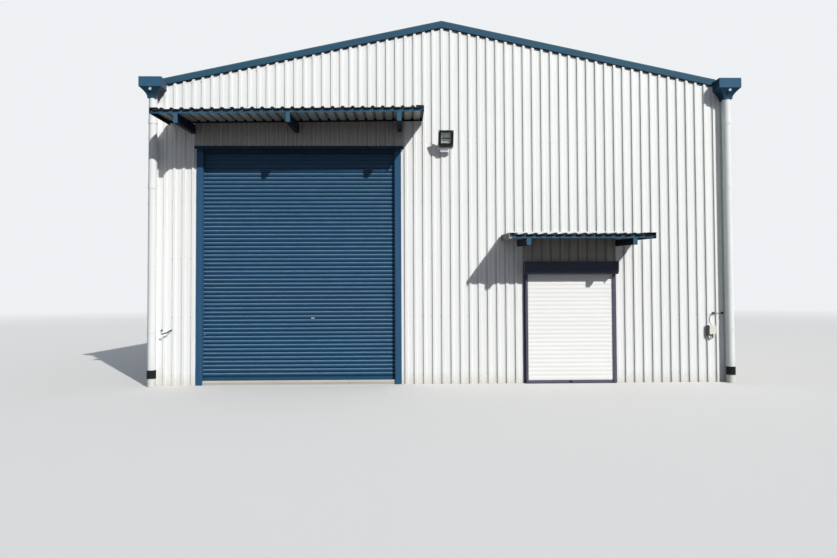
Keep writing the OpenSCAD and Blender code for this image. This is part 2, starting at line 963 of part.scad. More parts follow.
// Coiled curtain between two bracket plates on the door posts
module main_shutter_barrel() {
    plate = main_coil_r + bracket_plate_margin;
    half = main_open - bracket_plate_t;
    color("steelblue")
        at_front()
            translate([main_door_x, main_barrel_y, main_barrel_z]) {
                translate([-half, 0, 0])
                    rotate([0, 90, 0])
                        cylinder(h = 2 * half, r = main_coil_r);
                both_sides()
                    box([half, lintel_t + 3 - main_barrel_y, -plate], [main_open, plate, plate]);
            }
}

module main_door_surround() {
    outer = main_door_w / 2 + jamb_face;
    inner = main_door_w / 2;
    reach = outer + head_reach;
    front = face_y + flashing_t;
    jamb_top = head_flashing_z - running_gap;
    head_end = head_flashing_z + head_face;
    color("steelblue")
        at_front()
            translate([main_door_x, 0, 0]) {
                both_sides() {
                    box([inner, -front, 0], [outer, -face_y, jamb_top]);
                    box([inner, -front, slab_h], [inner + flashing_t, main_guide_y, jamb_top]);
                    box([outer - flashing_t, -front, 0], [outer, -sheet_t, jamb_top]);
                }
                box([-reach, -front, head_flashing_z], [reach, -face_y, head_end]);
                box([-reach, -front, head_end - flashing_t], [reach, -crown_y, head_end]);
                box([-inner, -front, head_flashing_z], [inner, 0, head_flashing_z + flashing_t]);
            }
}

module side_shutter_curtain() {
    color("whitesmoke")
        at_front()
            translate([side_door_x, side_slat_y, 0])
                slat_curtain(side_door_w + 2 * side_grip, side_rail_h, side_slats, side_slat_bulge);
}

module side_shutter_rail() {
    color("dimgray")
        at_front()
            translate([side_door_x, side_slat_y, 0])
                bottom_rail(side_door_w, 0, side_rail_h, side_rail_t);
}

// Guides that stand on the wall's ribs, each with a flange on the side away from the door
module side_shutter_guides() {
    color("dimgray")
        at_front()
            translate([side_door_x, -crown_y - side_guide_d, 0])
                both_sides()
                    translate([side_door_w / 2 + side_track_w, 0, 0])
                        linear_extrude(height = side_hood_z) {
                            guide_section(side_track_w, side_guide_d);
                            translate([-guide_t, side_guide_d - flashing_t])
                                square([guide_t + side_flange_w, flashing_t]);
                        }
}

module side_shutter_barrel() {
    half = side_door_w / 2 + side_guide_w - guide_t;
    color("whitesmoke")
        at_front()
            translate([side_door_x - half, side_barrel_y, side_barrel_z])
                rotate([0, 90, 0])
                    cylinder(h = 2 * half, r = side_coil_r);
}

// Outline of the hood with its walls drawn in by inset, round at the front below
module hood_outline(inset) {
    front = crown_y + hood_d - inset;
    top = side_hood_z + hood_h - inset;
    bottom = side_hood_z + inset;
    nose = hood_nose - inset;
    translate([-front, bottom + nose])
        square([front - crown_y, top - bottom - nose]);
    translate([-front + nose, bottom])
        square([front - nose - crown_y, nose + 1]);
    translate([-front + nose, bottom + nose])
        circle(r = nose);
}

module side_shutter_hood() {
    half = side_door_w / 2 + side_guide_w;
    color("midnightblue")
        at_front()
            translate([side_door_x, 0, 0])
                difference() {
                    along_x(-half, half)
                        hood_outline(0);
                    along_x(guide_t - half, half - guide_t)
                        hood_outline(flashing_t);
                    box([guide_t - half, -crown_y - side_guide_d, side_hood_z - 1],
                        [half - guide_t, -crown_y + 1, side_hood_z + flashing_t + 1]);
                }
}

// Wall fittings

// Local frame of the floodlight: its pivot, with the lamp facing -y and tilted down
module on_flood_pivot() {
    at_front()
        translate([flood_x, -crown_y - flood_out, flood_z])
            children();
}

flood_face = 30;
flood_frame_t = 26;
flood_rim = 8;
flood_taper = 32;
flood_foot = 35;
flood_glass_top = 40;
flood_glass_t = 4;
flood_arm_t = 6;
flood_bar_h = 40;
flood_bar_y = 111;
flood_bar_z = -152;
flood_back = flood_face - flood_frame_t;
flood_half = flood_w / 2 - flood_rim;
flood_half_h = flood_h / 2 - flood_rim;
flood_yoke_x = flood_w / 2 - 10;

// Opening of the frame and the hollow for the lamp, from y0 to y1
module flood_window(y0, y1) {
    high = flood_h / 2 - flood_glass_top;
    box([-flood_glass_w / 2, y0, high - flood_glass_h], [flood_glass_w / 2, y1, high]);
}

// Housing that tapers towards its back, in its side view and in plan
module flood_housing() {
    back = flood_d - flood_back;
    low = -flood_half_h;
    narrow = flood_half - flood_taper;
    intersection() {
        along_x(-flood_half, flood_half)
            polygon([
                [-flood_back, low], [-flood_back, flood_half_h],
                [back, flood_half_h - flood_d], [back, low + flood_foot]
            ]);
        translate([0, 0, low])
            linear_extrude(height = 2 * flood_half_h)
                polygon([
                    [-flood_half, -flood_back], [-narrow, back],
                    [narrow, back], [flood_half, -flood_back]
                ]);
    }
}

module flood_fins() {
    count = 7;
    pitch = 26;
    fin_t = 3;
    fin_d = 18;
    edge = 20;
    for (i = [0 : count - 1])
        translate([(i - (count - 1) / 2) * pitch - fin_t / 2, 0, 0])
            box([0, flood_d / 2, flood_foot + edge - flood_half_h],
                [fin_t, flood_d + fin_d, flood_half_h - flood_d - edge]);
}

module floodlight() {
    pivot_d = 22;
    color("dimgray")
        on_flood_pivot()
            rotate([flood_tilt, 0, 0]) {
                difference() {
                    union() {
                        box([-flood_w / 2, -flood_face, -flood_h / 2],
                            [flood_w / 2, -flood_back, flood_h / 2]);
                        flood_housing();
                        flood_fins();
                    }
                    flood_window(-flood_face - 1, flood_d / 2);
                }
                translate([-flood_yoke_x, 0, 0])
                    rotate([0, 90, 0])
                        cylinder(h = 2 * flood_yoke_x, d = pivot_d);
            }
}

module floodlight_glass() {
    recess = 10;
    color("lightgray")
        on_flood_pivot()
            rotate([flood_tilt, 0, 0])
                flood_window(recess - flood_face, recess - flood_face + flood_glass_t);
}

// Yoke: an arm on each side from the pivot to a flat bar below, and a post from the bar to the wall
module floodlight_bracket() {
    arm_len = norm([flood_bar_y, flood_bar_z]);
    arm_turn = atan2(flood_bar_z, flood_bar_y);
    outer = flood_yoke_x + flood_arm_t;
    low = flood_bar_z - flood_bar_h / 2;
    high = flood_bar_z + flood_bar_h / 2;
    post_x = -27;
    post_w = 145;
    post_drop = 50;
    color("silver")
        on_flood_pivot() {
            for (x0 = [-outer, flood_yoke_x])
                along_x(x0, x0 + flood_arm_t)
                    rotate(arm_turn)
                        translate([-flood_bar_h / 2, -flood_bar_h / 2])
                            square([arm_len + flood_bar_h / 2, flood_bar_h]);
            box([-outer, flood_bar_y - flood_arm_t, low], [outer, flood_bar_y, high]);
            box([post_x - post_w / 2, flood_bar_y - 1, low - post_drop],
                [post_x + post_w / 2, flood_out, high]);
        }
}

// Cream box with a lid, a switch housing against its left side, and a cable tail out of each
module isolator_box() {
    lid_d = 18;
    seam = 2;
    switch_d = 38;
    switch_drop = 34;
    tail_d = 17;
    bend = 12;
    half_h = isolator_h / 2;
    left = -isolator_w / 2;
    switch_x = left - switch_w / 2;
    switch_foot = -half_h - switch_drop;
    crown_x = left + rib_crown / 2 - tail_d / 2;
    color("ivory")
        at_front()
            translate([isolator_x, -crown_y, isolator_z]) {
                box([left, -isolator_d, -half_h], [-left, lid_d - isolator_d, half_h]);
                box([left + seam, -isolator_d, seam - half_h], [-left - seam, 0, half_h - seam]);
                box([left, lid_d + seam - isolator_d, -half_h], [-left, 0, half_h]);
                box([left - switch_w, -switch_d, switch_foot], [left, 0, half_h]);
                tube(rounded([
                    [switch_x, -switch_d / 2, switch_foot + 1],
                    [switch_x + tail_d / 2, -switch_d / 2, switch_foot - 2 * tail_d],
                    [crown_x, -switch_d / 2, switch_foot - 4 * tail_d],
                    [crown_x, 0, switch_foot - 4 * tail_d]
                ], bend), tail_d, [1, 0, 0]);
                tube(rounded([
                    [0, -isolator_d / 2, 1 - half_h],
                    [tail_d / 3, -isolator_d / 2, -half_h - 2 * tail_d],
                    [tail_d, -tail_d / 2, -half_h - 4 * tail_d],
                    [tail_d, crown_y - sheet_t, -half_h - 4 * tail_d]
                ], bend), tail_d, [1, 0, 0]);
            }
}

function unit(v) = v / norm(v);

// Direction of a route at its point i, halfway between the stretches that meet there
function route_way(route, i) =
    unit((i > 0 ? unit(route[i] - route[i - 1]) : [0, 0, 0])
        + (i < len(route) - 1 ? unit(route[i + 1] - route[i]) : [0, 0, 0]));

// Round bar or cable along a route that never runs along the vector side
module tube(route, d, side) {
    n = 12;
    last = len(route) - 1;
    points = [
        for (i = [0 : last])
            let (way = route_way(route, i), a = unit(cross(side, way)), b = cross(way, a))
            for (k = [0 : n - 1])
                route[i] + d / 2 * (cos(360 * k / n) * a + sin(360 * k / n) * b)
    ];
    sides = [
        for (i = [0 : last - 1])
            for (k = [0 : n - 1])
                let (next = (k + 1) % n)
                [i * n + k, (i + 1) * n + k, (i + 1) * n + next, i * n + next]
    ];
    ends = [[for (k = [0 : n - 1]) k], [for (k = [n - 1 : -1 : 0]) last * n + k]];
    polyhedron(points = points, faces = concat(ends, sides), convexity = 4);
}

// Route with each corner turned into a curve that starts and ends at a distance r from it
function rounded(route, r) = concat(
    [route[0]],
    [for (i = [1 : len(route) - 2])
        let (p = route[i], before = p + r * unit(route[i - 1] - p), after = p + r * unit(route[i + 1] - p))
        for (t = [0 : 0.25 : 1])
            pow(1 - t, 2) * before + 2 * t * (1 - t) * p + t * t * after],
    [route[len(route) - 1]]
);

// Boss on the flat pan that holds the cable or lets it through the wall
module cable_boss(p, d) {
    translate([p[0], -cable_d / 2 - 2, p[2]])
        rotate([-90, 0, 0])
            cylinder(h = crown_y + cable_d + 2 - sheet_t, d = d);
}

// Cable from the top of the isolator: it bows to the left, turns and runs level to the right
module isolator_cable() {
    bow_r = (cable_rise * cable_rise / 4 + cable_bow * cable_bow) / (2 * cable_bow);
    bow_angle = asin(cable_rise / 2 / bow_r);
    turn_r = 40;
    bow_x = bow_r - cable_bow;
    turn_x = bow_x - (bow_r - turn_r) * cos(bow_angle);
    turn_z = cable_rise / 2 + (bow_r - turn_r) * sin(bow_angle);
    bow = [
        for (i = [-6 : 6])
            let (a = i / 6 * bow_angle)
            [bow_x - bow_r * cos(a), 0, cable_rise / 2 + bow_r * sin(a)]
    ];
    turn = [
        for (i = [1 : 4])
            let (a = bow_angle + i / 4 * (90 - bow_angle))
            [turn_x - turn_r * cos(a), 0, turn_z + turn_r * sin(a)]
    ];
    clip = [rib_pitch / 2 - isolator_w / 2, 0, turn[3][2]];
    gland = clip + [rib_pitch, 0, 0];
    color("dimgray")
        at_front()
            translate([isolator_x, -crown_y - cable_d / 2, isolator_z + isolator_h / 2]) {
                tube(concat(bow, turn, [gland]), cable_d, [0, 1, 0]);
                cable_boss(clip, cable_d + 12);
                cable_boss(gland, cable_d + 20);
            }
}

// Bent bar that comes out of the pan beside a rib and droops to the left, and a stud one rib on
module wall_hook() {
    stud_out = 14;
    foot_x = hook_rib * rib_pitch - rib_base / 2 - hook_d / 2;
    route = [
        [0, -sheet_t, 0], [0, -crown_y, 0],
        [-0.3 * hook_reach, -crown_y - 0.83 * hook_out, -0.66 * hook_drop],
        [-0.8 * hook_reach, -crown_y - 0.96 * hook_out, -hook_drop],
        [-hook_reach, -crown_y - hook_out, -0.85 * hook_drop]
    ];
    color("black")
        at_front() {
            translate([foot_x, 0, hook_z])
                tube(rounded(route, 0.6 * rib_h), hook_d, [0, 0, 1]);
            translate([foot_x - rib_pitch, -sheet_t, hook_z])
                rotate([90, 0, 0])
                    cylinder(h = crown_y + stud_out, d = hook_d);
        }
}

floor_slab();
party_wall(-1);  // party_wall_left
party_wall(1);  // party_wall_right
columns();
rafters(-1);  // rafters_left
rafters(1);  // rafters_right
purlins(-1);  // purlins_left
purlins(1);  // purlins_right
girts_front();
girts_rear();
door_posts();
door_lintels();
front_wall_left();
front_wall_over_main_door();
front_wall_centre();
front_wall_over_side_door();
front_wall_right();
rear_wall();
roof_sheets(-1);  // roof_sheets_left
roof_sheets(1);  // roof_sheets_right
rooflights(-1);  // rooflights_left
rooflights(1);  // rooflights_right
ridge_capping();
at_front() barge_flashings();  // barge_flashings_front
at_rear() barge_flashings();  // barge_flashings_rear
valley_gutters();
at_front() rainwater_heads();  // rainwater_heads_front
at_rear() rainwater_heads();  // rainwater_heads_rear
at_front() downpipes();  // downpipes_front
at_rear() downpipes();  // downpipes_rear
leaning(main_canopy_x, main_canopy_z, main_canopy_lean)  // main_canopy_sheet
        canopy_sheet(main_canopy_x, main_canopy_z, main_canopy_w);
leaning(main_canopy_x, main_canopy_z, main_canopy_lean)  // main_canopy_flashings
        canopy_flashings(main_canopy_x, main_canopy_z, main_canopy_w);
leaning(main_canopy_x, main_canopy_z, main_canopy_lean)  // main_canopy_beams
        canopy_beams(main_canopy_x, main_canopy_z, main_beam_count, main_beam_pitch, main_beam_d);
canopy_sheet(side_canopy_x, side_canopy_z, side_canopy_w);  // side_canopy_sheet
canopy_flashings(side_canopy_x, side_canopy_z, side_canopy_w);  // side_canopy_flashings
canopy_beams(side_canopy_x, side_canopy_z, 2, side_beam_pitch, side_beam_d);  // side_canopy_beams
main_shutter_curtain();
main_shutter_guides();
main_shutter_barrel();
main_door_surround();
side_shutter_curtain();
side_shutter_rail();
side_shutter_guides();
side_shutter_barrel();
side_shutter_hood();
floodlight();
floodlight_glass();
floodlight_bracket();
isolator_box();
isolator_cable();
wall_hook();
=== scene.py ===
"""Looks of a gabled industrial unit: ribbed white walls, two roller shutters and two canopies."""
import json
import math
from collections import namedtuple
from functools import partial

import bpy
from mathutils import Matrix, Vector


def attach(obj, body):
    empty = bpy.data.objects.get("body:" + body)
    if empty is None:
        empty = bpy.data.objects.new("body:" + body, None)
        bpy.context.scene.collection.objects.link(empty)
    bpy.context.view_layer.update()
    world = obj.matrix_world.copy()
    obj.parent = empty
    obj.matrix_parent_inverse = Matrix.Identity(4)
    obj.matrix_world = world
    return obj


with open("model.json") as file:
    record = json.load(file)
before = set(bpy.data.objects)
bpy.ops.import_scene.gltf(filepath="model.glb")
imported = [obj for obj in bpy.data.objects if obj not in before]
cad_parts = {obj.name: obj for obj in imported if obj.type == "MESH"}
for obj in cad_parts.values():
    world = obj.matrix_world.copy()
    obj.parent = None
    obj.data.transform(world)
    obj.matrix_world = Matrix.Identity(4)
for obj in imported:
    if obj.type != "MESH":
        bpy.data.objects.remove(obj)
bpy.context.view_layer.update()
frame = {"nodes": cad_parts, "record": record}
BODY = "root"

# Camera, fitted to the photograph's 837 x 558 frame
PHOTO_W = 837
FOCAL_PX = 651
CAMERA_AT = Vector((-0.709, -19.624, 1.609))
CAMERA_YAW = math.radians(1.201)
CAMERA_PITCH = math.radians(1.589)
CAMERA_ROLL = math.radians(-0.256)
CAMERA_REACH = 500

# Key lamp: the way its light travels, its strength, its apparent size, its colour and its distance
KEY_WAY = Vector((-0.441, 0.709, -0.553))
KEY_STRENGTH = 3.5
KEY_SIZE = math.radians(0.8)
KEY_COLOR = (1.0, 0.985, 0.95)
KEY_AWAY = 12

# Sky light, from the horizon up to the height where it is full, and the pale backdrop
SKY_LOW = 0.1
SKY_HIGH = 0.56
SKY_FULL = 0.9
SKY_COLOR = (0.76, 0.85, 1.0, 1.0)
BACKDROP = (0.86, 0.88, 0.90, 1.0)

# Floor as the camera sees it, as it throws light back, and where it fades into the backdrop
FLOOR_SEEN = (0.72, 0.71, 0.69, 1.0)
FLOOR_BOUNCE = (0.16, 0.155, 0.16, 1.0)
FLOOR_RADIUS = 120
FADE_FROM = 22.0
FADE_TO = 75.0

# Ribbed sheet: pitch of the ribs, half a rib's width, the width of a sheet, and the outer face of the walls'
# pans. Lengths are in metres, here and below
RIB_PITCH = 0.1715
RIB_HALF = 0.034
SHEET_W = 4 * RIB_PITCH
PAN_Y = 7.503

# Wall screws: levels of the girts, and how far left of a rib's middle the screws stand
SCREW_ROWS = (0.179, 1.255, 2.336, 3.394, 4.485)
SCREW_BESIDE = 0.041

# Roof: top of its sheet at the ridge, its fall, and the purlins to either side of the ridge ones
ROOF_TOP = 6.7957
ROOF_FALL = 0.21254
PURLIN_X = (1.324, 2.515, 3.705, 4.896)

# Barge flashings: their face, and how far their foot lies under the roof's line
BARGE_Y = 7.536
BARGE_DROP = 0.126

# Middle of the downpipes, height of a shutter's slat, and face of the main door's surround
PIPE_X = 5.3275
PIPE_Y = 7.635
SLAT_PITCH = 0.076
SURROUND_Y = -7.534

# Canopies: front edge and fall. For each, its first rib, how many there are, its lean to one side, the level
# at the front edge of the ribs' tops and of the foot of the foam inside them, and the level of the rivets
CANOPY_FRONT = -8.5465
CANOPY_FALL = 0.0524
Canopy = namedtuple("Canopy", "first_rib ribs lean crown_z foam_z rivet_z")
MAIN_CANOPY = Canopy(-5.0217, 28, 0.01047, 4.8522, 4.8265, 4.8045)
SIDE_CANOPY = Canopy(1.196, 15, 0.0, 2.7000, 2.6745, 2.6500)

# Wall between each door and its canopy, from and to across and upwards, where the shade under the canopy is
# painted
MAIN_CANOPY_SHADE = ((-4.60, -0.74), (4.44, 4.955))
SIDE_CANOPY_SHADE = ((1.50, 3.23), (2.25, 2.75))

FORWARD = (0, -1, 0)


class Paint:
    """Node tree of one material, with short calls for the nodes that repeat"""

    def __init__(self, name):
        self.material = bpy.data.materials.new(name)
        self.material.use_nodes = True
        self.tree = self.material.node_tree
        self.shader = self.tree.nodes["Principled BSDF"]
        self.coords = self.add("ShaderNodeTexCoord").outputs["Object"]
        self.x, self.y, self.z = self.split(self.coords)

    def add(self, kind, **settings):
        node = self.tree.nodes.new(kind)
        for key, value in settings.items():
            setattr(node, key, value)
        return node

    def put(self, socket, value):
        """Link a socket to another, or set its own value"""
        if isinstance(value, bpy.types.NodeSocket):
            self.tree.links.new(value, socket)
        elif isinstance(value, tuple) and len(value) == 3 and socket.type == "RGBA":
            socket.default_value = (*value, 1.0)
        else:
            socket.default_value = value

    def split(self, vector):
        node = self.add("ShaderNodeSeparateXYZ")
        self.put(node.inputs[0], vector)
        return node.outputs[0], node.outputs[1], node.outputs[2]

    def math(self, operation, *values):
        node = self.add("ShaderNodeMath", operation=operation)
        for socket, value in zip(node.inputs, values):
            self.put(socket, value)
        return node.outputs[0]

    def plus(self, a, b):
        return self.math("ADD", a, b)

    def minus(self, a, b):
        return self.math("SUBTRACT", a, b)

    def times(self, a, b):
        return self.math("MULTIPLY", a, b)

    def most(self, a, b):
        return self.math("MAXIMUM", a, b)

    def ramp(self, value, low, high, at_low=0.0, at_high=1.0):
        """Smooth step from at_low to at_high while value goes from low to high"""
        node = self.add("ShaderNodeMapRange", interpolation_type="SMOOTHSTEP")
        for socket, number in zip(node.inputs, (value, low, high, at_low, at_high)):
            self.put(socket, number)
        return node.outputs[0]

    def band(self, value, low, high, soft=0.002):
        """One between low and high, nothing outside"""
        rise = self.ramp(value, low - soft, low + soft)
        fall = self.ramp(value, high - soft, high + soft, 1.0, 0.0)
        return self.times(rise, fall)

    def mix(self, factor, a, b):
        node = self.add("ShaderNodeMix", data_type="RGBA")
        self.put(node.inputs[0], factor)
        self.put(node.inputs[6], a)
        self.put(node.inputs[7], b)
        return node.outputs[2]

    def noise(self, size, detail=3.0, rough=0.55):
        """Noise from 0 to 1 whose blotches measure size, one number or three"""
        sizes = size if isinstance(size, tuple) else (size,) * 3
        place = self.add("ShaderNodeMapping")
        place.inputs["Scale"].default_value = [1 / s for s in sizes]
        self.put(place.inputs["Vector"], self.coords)
        node = self.add("ShaderNodeTexNoise")
        node.inputs["Scale"].default_value = 1.0
        node.inputs["Detail"].default_value = detail
        node.inputs["Roughness"].default_value = rough
        self.put(node.inputs["Vector"], place.outputs[0])
        return node.outputs[0]

    def patchy(self, size, low, high, detail=3.0):
        """Level that wanders from low to high in patches that measure size"""
        return self.ramp(self.noise(size, detail), 0.3, 0.7, low, high)

    def cells(self, size):
        """Random level of each cell of a broken pattern"""
        node = self.add("ShaderNodeTexVoronoi")
        node.inputs["Scale"].default_value = 1 / size
        self.put(node.inputs["Vector"], self.coords)
        return self.split(node.outputs["Color"])[0]

    def step_level(self, value, pitch, seed):
        """Random level that is the same over each stretch of one pitch"""
        count = self.math("FLOOR", self.math("DIVIDE", value, pitch))
        node = self.add("ShaderNodeTexWhiteNoise", noise_dimensions="1D")
        self.put(node.inputs["W"], self.plus(count, seed))
        return node.outputs[0]

    def facing(self):
        """Direction in which the surface faces, as three numbers"""
        return self.split(self.add("ShaderNodeNewGeometry").outputs["Normal"])

    def tone(self, color, level, low, high):
        """The colour, made darker or lighter from low to high by a level from 0 to 1"""
        return self.mix(level, scaled(color, low), scaled(color, high))

    def bump(self, height, distance, strength=1.0, under=None):
        node = self.add("ShaderNodeBump")
        node.inputs["Strength"].default_value = strength
        node.inputs["Distance"].default_value = distance
        self.put(node.inputs["Height"], height)
        if under is not None:
            self.put(node.inputs["Normal"], under)
        self.put(self.shader.inputs["Normal"], node.outputs[0])
        return node.outputs[0]

    def base(self, color, rough, metallic=0.0, specular=0.35):
        self.put(self.shader.inputs["Base Color"], color)
        self.put(self.shader.inputs["Roughness"], rough)
        self.put(self.shader.inputs["Metallic"], metallic)
        self.put(self.shader.inputs["Specular IOR Level"], specular)
        return self.material


def scaled(color, share, lift=0.0):
    """The colour times a share, with a lift added, and never over white"""
    return tuple(min(1.0, c * share + lift) for c in color[:3])


def painted_canopy_shade(paint, rise, across, up):
    """Painted shade under a canopy, brownish and darker towards the canopy, with streaks, on the front wall
    between two places across and two levels up
    """
    level = paint.ramp(rise, *up, 0.5, 0.88)
    inside = paint.times(paint.band(paint.x, *across, 0.02), paint.band(rise, *up, 0.004))
    streaks = paint.ramp(paint.noise((0.035, 0.3, 1.6), 4.0), 0.35, 0.65, 0.82, 1.0)
    front = paint.ramp(paint.y, -7.0, -6.9, 1.0, 0.0)
    return paint.times(paint.times(level, inside), paint.times(streaks, front))


def wall_sheeting(name, color):
    """White enamel: a tone to each sheet, rain streaks, painted shade on the ribs' left webs and painted
    shadow beside them, painted shade under the canopies, splash at the foot, slight buckles
    """
    paint = Paint(name)
    sheet = paint.step_level(paint.plus(paint.x, RIB_PITCH / 2), SHEET_W, 40.0)
    shade = paint.tone(color, sheet, 0.965, 1.0)
    streak = paint.ramp(paint.noise((0.035, 0.5, 1.4), 4.0), 0.5, 0.75, 0.0, 0.16)
    shade = paint.mix(streak, shade, (0.62, 0.63, 0.6))
    blotch = paint.ramp(paint.noise(0.9), 0.35, 0.75, 0.0, 0.1)
    shade = paint.mix(blotch, shade, (0.74, 0.76, 0.77))
    splash = paint.plus(paint.z, paint.times(paint.noise((0.07, 0.3, 0.2)), 0.3))
    shade = paint.mix(paint.ramp(splash, 0.1, 0.42, 0.4, 0.0), shade, (0.56, 0.5, 0.38))
    # Painted shade: the faces of the ribs' webs that turn left, away from the key light, are darkened
    shaded_web = paint.ramp(paint.facing()[0], -0.75, -0.35, 0.5, 0.0)
    shade = paint.mix(shaded_web, shade, (0.3, 0.32, 0.32))
    # Painted shadow: a dark strip on the pan beside each rib's left foot widens the rib's cast shadow,
    # stronger towards the right
    beside = paint.math("WRAP", paint.x, RIB_PITCH / 2, -RIB_PITCH / 2)
    painted_rib_shadow = paint.times(paint.band(beside, -0.057, -0.034, 0.003),
                       paint.ramp(paint.x, -3.0, 2.0, 0.12, 0.45))
    shade = paint.mix(painted_rib_shadow, shade, (0.3, 0.33, 0.32))
    # Painted shade under both canopies, brownish, darker towards each canopy
    rise = paint.minus(paint.z, paint.times(paint.x, MAIN_CANOPY.lean))
    canopy_shade = paint.most(painted_canopy_shade(paint, rise, *MAIN_CANOPY_SHADE), painted_canopy_shade(paint, paint.z, *SIDE_CANOPY_SHADE))
    shade = paint.mix(canopy_shade, shade, (0.17, 0.14, 0.105))
    across = paint.math("PINGPONG", paint.minus(paint.x, 0.021), SHEET_W / 2)
    lap = paint.ramp(across, 0.0008, 0.0016, 0.6, 0.0)
    shade = paint.mix(lap, shade, (0.2, 0.2, 0.2))
    buckle = paint.bump(paint.noise((0.11, 0.5, 0.8), 1.0), 0.0016)
    paint.bump(paint.noise(0.005, 2.0), 0.0003, 0.4, buckle)
    return paint.base(shade, paint.patchy(0.25, 0.42, 0.55), specular=0.3)


def dark_sheeting(name, color, under, crown=None):
    """Dark enamel above, chalky with dust in streaks down the slope; the back coat is pale

    crown is the place across of one rib: the back coat is painted darker inside the ribs and towards the
    wall, as shade
    """
    paint = Paint(name)
    shade = paint.tone(color, paint.noise(0.6), 0.7, 1.5)
    dust = paint.ramp(paint.noise((0.5, 0.05, 0.5), 4.0), 0.45, 0.8, 0.0, 0.08)
    shade = paint.mix(dust, shade, (0.2, 0.21, 0.22))
    facing = paint.facing()[2]
    back = paint.tone(under, paint.noise((0.06, 0.5, 0.06)), 0.8, 1.1)
    if crown is not None:
        near = paint.math("PINGPONG", paint.minus(paint.x, crown), RIB_PITCH / 2)
        # Painted shade on the back coat: darker inside each rib's hollow and towards the wall
        back = paint.mix(paint.ramp(near, 0.015, RIB_HALF, 0.7, 0.0), back, (0.1, 0.105, 0.1))
        back = paint.mix(paint.ramp(paint.y, -8.3, -7.55, 0.0, 0.6), back, (0.13, 0.12, 0.1))
    shade = paint.mix(paint.ramp(facing, -0.35, -0.2, 1.0, 0.0), shade, back)
    paint.bump(paint.noise(0.006, 2.0), 0.0003, 0.5)
    return paint.base(shade, paint.patchy(0.3, 0.4, 0.56), specular=0.12)


def coated_steel(name, color, rough=0.42, dust=0.1, dust_color=(0.34, 0.38, 0.4)):
    """Coated or painted steel: cloudy tone, fine scuffs, and dust on what faces up"""
    paint = Paint(name)
    shade = paint.tone(color, paint.noise((0.7, 0.3, 0.3)), 0.82, 1.2)
    scuff = paint.ramp(paint.noise((0.3, 0.02, 0.02), 5.0), 0.62, 0.8, 0.0, 0.22)
    shade = paint.mix(scuff, shade, scaled(color, 1.7, 0.02))
    up = paint.facing()[2]
    settled = paint.times(paint.ramp(up, 0.1, 0.9, 0.15, 1.0), paint.noise(0.05, 5.0))
    shade = paint.mix(paint.times(settled, dust), shade, dust_color)
    paint.bump(paint.noise(0.004, 2.0), 0.0002, 0.5)
    return paint.base(shade, paint.patchy(0.2, rough - 0.06, rough + 0.1), specular=0.12)


def canopy_trim(name, color, apron_z, lip_z, lean=0.0, glint_x=-20.0):
    """Canopy flashings: blue in front, painted shadow under the lip, painted shade on the sides and behind,
    wall white on the apron's upright leg

    That leg starts at apron_z and the painted shadow at lip_z. Left of glint_x the front has a painted
    reflection, pale as bare metal.
    """
    paint = Paint(name)
    shade = paint.tone(color, paint.noise((0.7, 0.3, 0.3)), 0.82, 1.2)
    rise = paint.minus(paint.z, paint.times(paint.x, lean))
    # Painted shade on the faces that don't face forward and on all behind the front, and painted shadow of
    # the sheet's lip on the top of the front angle, all made navy
    shaded_sides = paint.ramp(paint.facing()[1], -0.8, -0.5)
    lip = paint.ramp(rise, lip_z - 0.0005, lip_z + 0.0005)
    behind = paint.ramp(paint.y, -8.2, -8.1)
    dark = paint.most(paint.most(shaded_sides, lip), behind)
    shade = paint.mix(dark, shade, paint.tone((0.006, 0.011, 0.022), paint.noise(0.2), 0.7, 1.3))
    # Painted reflection: a pale patch on the front at the left end
    glint = paint.times(paint.ramp(paint.x, glint_x, glint_x + 0.004, 1.0, 0.0),
                       paint.ramp(paint.y, -8.50, -8.44, 1.0, 0.0))
    shade = paint.mix(paint.times(glint, 0.75), shade, (0.6, 0.6, 0.58))
    leg = paint.times(paint.ramp(paint.y, -7.546, -7.540), paint.ramp(rise, apron_z, apron_z + 0.002))
    shade = paint.mix(leg, shade, (0.86, 0.87, 0.86))
    paint.bump(paint.noise(0.004, 2.0), 0.0002, 0.5)
    return paint.base(shade, paint.patchy(0.2, 0.4, 0.52), specular=0.12)


def barge_paint(name, color):
    """Barge flashings: long clouds along the slope, a painted highlight along the top edge, and darker at the
    foot
    """
    paint = Paint(name)
    shade = paint.tone(color, paint.noise((0.9, 0.3, 0.12), 4.0), 0.85, 1.15)
    fall = paint.plus(paint.z, paint.times(paint.math("ABSOLUTE", paint.x), ROOF_FALL))
    # Painted highlight: lighter along the top edge of the face
    painted_top_highlight = paint.times(paint.ramp(fall, ROOF_TOP - 0.03, ROOF_TOP), paint.patchy(0.3, 0.1, 0.35))
    shade = paint.mix(painted_top_highlight, shade, (0.14, 0.25, 0.33))
    foot = paint.ramp(fall, ROOF_TOP - BARGE_DROP, ROOF_TOP - BARGE_DROP + 0.018, 0.55, 0.0)
    shade = paint.mix(foot, shade, (0.01, 0.03, 0.055))
    paint.bump(paint.noise((0.3, 0.1, 0.02), 2.0), 0.0006, 0.4)
    return paint.base(shade, paint.patchy(0.2, 0.42, 0.55), specular=0.08)


